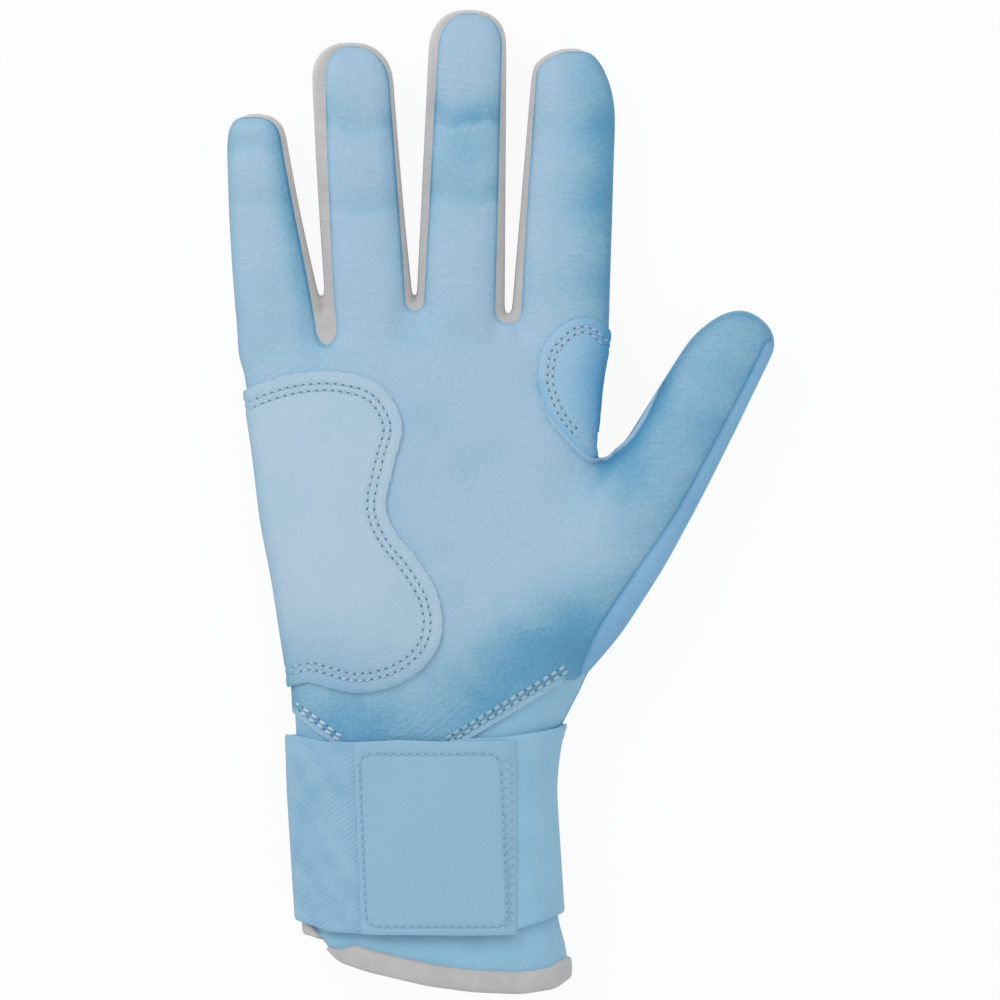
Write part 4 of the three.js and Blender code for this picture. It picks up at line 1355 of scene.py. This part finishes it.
def sleevePoint(angle, y):
    section = sleeveAt(y)
    x, z = sectionPoint(section, angle)
    left, right, bottom, top, flat = section
    power = 2 - 2 / formSize["squareness"]
    cos, sin = np.cos(angle), np.sin(angle)
    nx = np.sign(cos) * np.abs(cos) ** power / (right - left)
    nz = np.sign(sin) * np.abs(sin) ** power / (top - bottom)
    pressed = z <= flat + 1e-6
    nx, nz = np.where(pressed, 0, nx), np.where(pressed, -1, nz)
    size = np.hypot(nx, nz)
    return x, z, nx / size, nz / size


def angleAtX(x, y):
    left, right = sleeveAt(y)[:2]
    t = (x - (left + right) / 2) * 2 / (right - left)
    return np.arccos(np.clip(np.sign(t) * np.abs(t) ** (formSize["squareness"] / 2), -1, 1))


def angleAtHinge(y):
    bottom, top = sleeveAt(y)[2:4]
    t = (hingeZ - (bottom + top) / 2) * 2 / (top - bottom)
    return math.pi - np.arcsin(np.sign(t) * np.abs(t) ** (formSize["squareness"] / 2))


def strapPiece(name, size, startAngle, endAngle, edges, material, rides, rise=None):
    columns, rows = (int(run / strapSize["cell"]) for run in (size["length"], strapSize["width"]))
    part = bmesh.new()
    bmesh.ops.create_grid(part, x_segments=columns, y_segments=rows, size=0.5)
    grid = meshArrays(part)[0]
    u, v = grid[:, 0] + 0.5, grid[:, 1] + 0.5
    y = strapSize["firstWidth"] * (v - 1)  # a first guess, corrected by the edges below
    for _ in range(4):
        angle = startAngle(y) + u * (endAngle(y) - startAngle(y))
        x, z, nx, nz = sleevePoint(angle, y)
        low, high = edges(angle, x)
        y = low + v * (high - low)
    toEdge = np.minimum(np.minimum(u, 1 - u) * size["length"], np.minimum(v, 1 - v) * (high - low))
    lift = size["height"] - strapSize["edgeRound"] * (1 - np.clip(toEdge / strapSize["edgeReach"], 0, 1)) ** 2
    if rise is not None:
        lift = lift + rise(x, y)
    moveTo(part, np.column_stack([x + nx * lift, y, z + nz * lift]))
    bmesh.ops.recalc_face_normals(part, faces=part.faces)
    part.normal_update()
    flip = np.array([vert.normal[:] for vert in part.verts])
    if np.mean(flip[:, 0] * nx + flip[:, 2] * nz) < 0:
        bmesh.ops.reverse_faces(part, faces=part.faces)
        part.normal_update()
    layer = part.verts.layers.float_vector.new("formNormal")
    part.verts.layers.float.new("tone")
    for vert in part.verts:
        vert[layer] = vert.normal
    surface = BVHTree.FromBMesh(part)
    thicken(part, size["thick"])
    addPiece(name, part, [material], rides)
    return surface


def strapEdges(angle, x):
    return along(strapSize["bottom"], x), along(strapSize["top"], x)


def hookEdges(angle, x):
    low, high = strapEdges(angle, x)
    return low + strapSize["hook"]["inset"], high - strapSize["hook"]["inset"]


def bandEdges(angle, x):
    front = angle > 0
    low = np.where(front, along(strapSize["bandBottom"], x), along(strapSize["backBottom"], x))
    return low, np.where(front, along(strapSize["bandTop"], x), along(strapSize["backTop"], x))


def boxLean(y):
    bottom, top = strapSize["box"][2:]
    return strapSize["boxSkew"] * ((bottom + top) / 2 - y)


def boxDistance(x, y):
    left, right, bottom, top = strapSize["box"]
    corner = strapSize["boxCorner"]
    dx = np.abs(x - boxLean(y) - (left + right) / 2) - (right - left) / 2 + corner
    dy = np.abs(y - (bottom + top) / 2) - (top - bottom) / 2 + corner
    return np.hypot(np.maximum(dx, 0), np.maximum(dy, 0)) + np.minimum(np.maximum(dx, dy), 0) - corner


def tabRise(x, y):
    tab, away = strapSize["tab"], boxDistance(x, y)
    groove = strapSize["boxGroove"] * bell(away, strapSize["boxGrooveWidth"])
    droop = tab["droop"] * smoothStep(x, tab["droopFrom"], tab["to"])
    return tab["crown"] * smoothStep(-away, *tab["crownFrom"]) - groove - droop


def elasticRise(x, y):
    elastic = strapSize["elastic"]
    return -elastic["under"] * smoothStep(x - boxLean(y), *elastic["underFrom"])


def boxPath():
    left, right, bottom, top = strapSize["box"]
    corner = strapSize["boxCorner"]
    corners = ((right - corner, top - corner), (left + corner, top - corner),
               (left + corner, bottom + corner), (right - corner, bottom + corner))
    path = []
    for quarter, (x, y) in enumerate(corners):
        for angle in np.linspace(0, math.pi / 2, strapSize["cornerPoints"]) + quarter * math.pi / 2:
            path.append((x + corner * math.cos(angle), y + corner * math.sin(angle)))
    path = [(x + boxLean(y), y) for x, y in path]
    return np.array(path + path[:1])


def makeStrap():
    def at(x):
        return lambda y: angleAtX(x, y)

    def bandEnd(y):
        return angleAtHinge(y) - 2 * math.pi + band["short"]  # round the back, just short of the hinge

    def tabStart(y):
        return angleAtX(tab["from"] + boxLean(y), y)

    band, elastic, hook, tab = (strapSize[piece] for piece in ("band", "elastic", "hook", "tab"))
    bend = bendAt()
    strapPiece("strap_band", band, at(band["from"]), bandEnd, bandEdges, bandWebbing,
               rideOn("hand"))
    strapPiece("strap_elastic", elastic, angleAtHinge, at(elastic["to"]), strapEdges, twillWebbing,
               bend, elasticRise)
    strapPiece("hook_patch", hook, at(hook["from"]), at(hook["to"]), hookEdges, hookTape,
               rideOn("strap"))
    surface = strapPiece("strap_tab", tab, tabStart, at(tab["to"]), strapEdges, tabSheet,
                         rideOn("strap"), tabRise)
    threads, holes = bmesh.new(), bmesh.new()
    stitchRow(threads, holes, surface, boxPath())
    zigzagRow(threads, holes, surface, strapSize["zigzag"], *strapSize["box"][2:], strapSize["zigzagStep"])
    addPiece("strap_tab_stitches", threads, [tabSheet], rideOn("strap"))
    addPiece("strap_tab_needle_holes", holes, [tabShade], rideOn("strap"))


makeStrap()
print("strap ready")

# Hem binding: a folded tape round the cuff's mouth, open at the slit, narrowing at its two ends.
bindingSize = {"width": 5.6, "endWidth": 1.4, "taper": 9, "proud": 0.75, "inside": -2.2, "stations": 190,
               "sides": 24, "squareness": 0.6, "frontGap": 0.4, "backGap": 1.2, "samples": 4000,
               "firstY": -58.0, "smooth": 2}


def bindingSection(width):
    half, middle = width / 2, (bindingSize["proud"] + bindingSize["inside"]) / 2
    tall = (bindingSize["proud"] - bindingSize["inside"]) / 2
    turns = np.linspace(0, 2 * math.pi, bindingSize["sides"], endpoint=False)
    circle = np.array([np.cos(turns), np.sin(turns)])
    across, upward = np.sign(circle) * np.abs(circle) ** bindingSize["squareness"]
    return np.column_stack([half + half * across, middle + tall * upward])


def makeBinding():
    hem = seamSize["hem"]
    start = angleAtX(seamSize["slitX"] + bindingSize["frontGap"], hem[2][1])
    end = angleAtX(seamSize["slitX"] - bindingSize["backGap"], hem[1][1]) - 2 * math.pi
    angle = np.linspace(start, end, bindingSize["samples"])
    y = np.full(len(angle), bindingSize["firstY"])  # a first guess, corrected by the hem below
    for _ in range(6):
        x, z, nx, nz = sleevePoint(angle, y)
        y = along(hem, x)
    path = np.column_stack([x, y, z])
    length = pathLength(path)
    at = np.linspace(0, length[-1], bindingSize["stations"])
    places = np.column_stack([np.interp(at, length, column) for column in path.T])
    beside = bindingSize["smooth"]
    mean = np.full(2 * beside + 1, 1 / (2 * beside + 1))
    longer = np.pad(places, ((beside, beside), (0, 0)), mode="edge")
    smooth = np.column_stack([np.convolve(column, mean, "valid") for column in longer.T])
    normals = np.column_stack([np.interp(at, length, nx), np.zeros(len(at)), np.interp(at, length, nz)])
    wide = smoothStep(np.minimum(at, length[-1] - at), 0, bindingSize["taper"])
    widths = bindingSize["endWidth"] + (bindingSize["width"] - bindingSize["endWidth"]) * wide
    tape = bmesh.new()
    sweep(tape, smooth, [Vector(n) for n in normals], [bindingSection(w) for w in widths])
    bmesh.ops.recalc_face_normals(tape, faces=tape.faces)
    addPiece("hem_binding", tape, [bindingTape], rideOn("hand"))


makeBinding()
bm.free()
bpy.data.meshes.remove(scratch)
print("binding ready")


# Stage: a pale floor, soft light from the upper left and a camera straight above.
stageSize = {
    "floor": 6.0, "paper": "#f3f3f3", "paperRoughness": 0.9, "glow": 0.93, "sky": 0.64,
    "middle": (17.5, 60), "plane": 0.012, "view": 0.25, "lens": 800, "sensor": 36,
    "lamps": {"key": {"at": (-0.8, 0.8, 1.0), "power": 6.0, "size": 0.8},
              "fill": {"at": (0.9, -0.6, 1.2), "power": 2.5, "size": 1.2}},
}


def makeFloor():
    floorBm = bmesh.new()
    bmesh.ops.create_grid(floorBm, x_segments=1, y_segments=1, size=stageSize["floor"] / 2)
    mesh = bpy.data.meshes.new("floor")
    floorBm.to_mesh(mesh)
    floorBm.free()
    floor = bpy.data.objects.new("floor", mesh)
    bpy.context.scene.collection.objects.link(floor)
    # Matt paper that shows white and keeps a faint shadow
    material = bpy.data.materials.new("pale paper floor")
    material.use_nodes = True
    tree = material.node_tree
    shader = tree.nodes["Principled BSDF"]
    shader.inputs["Base Color"].default_value = linear(stageSize["paper"])
    shader.inputs["Roughness"].default_value = stageSize["paperRoughness"]
    glow = addNode(tree, "ShaderNodeEmission", {"Color": (1, 1, 1, 1), "Strength": 1.0})
    rays = addNode(tree, "ShaderNodeLightPath")
    share = addNode(tree, "ShaderNodeMath", {0: rays.outputs["Is Camera Ray"], 1: stageSize["glow"]},
                    operation="MULTIPLY")
    mix = addNode(tree, "ShaderNodeMixShader",
                  {0: share.outputs[0], 1: shader.outputs[0], 2: glow.outputs[0]})
    tree.links.new(mix.outputs[0], tree.nodes["Material Output"].inputs["Surface"])
    mesh.materials.append(material)


def makeLights():
    world = bpy.data.worlds.new("studio")
    bpy.context.scene.world = world
    world.use_nodes = True
    sky = world.node_tree.nodes["Background"]
    sky.inputs["Color"].default_value = (1, 1, 1, 1)
    sky.inputs["Strength"].default_value = stageSize["sky"]
    for label, setting in stageSize["lamps"].items():
        lamp = bpy.data.lights.new(label, "AREA")
        lamp.energy, lamp.size = setting["power"], setting["size"]
        light = bpy.data.objects.new(label, lamp)
        light.location = setting["at"]
        light.rotation_euler = (-Vector(setting["at"])).to_track_quat("-Z", "Y").to_euler()
        bpy.context.scene.collection.objects.link(light)


def makeCamera():
    camera = bpy.data.cameras.new("camera")
    camera.lens, camera.sensor_width = stageSize["lens"], stageSize["sensor"]
    eye = bpy.data.objects.new("camera", camera)
    distance = stageSize["view"] * camera.lens / camera.sensor_width
    eye.location = (*rowPoint(*stageSize["middle"], 0)[:2], stageSize["plane"] + distance)
    bpy.context.scene.collection.objects.link(eye)
    bpy.context.scene.camera = eye
    bpy.context.scene.view_settings.view_transform = "Standard"


makeFloor()
makeLights()
makeCamera()
print("stage ready")
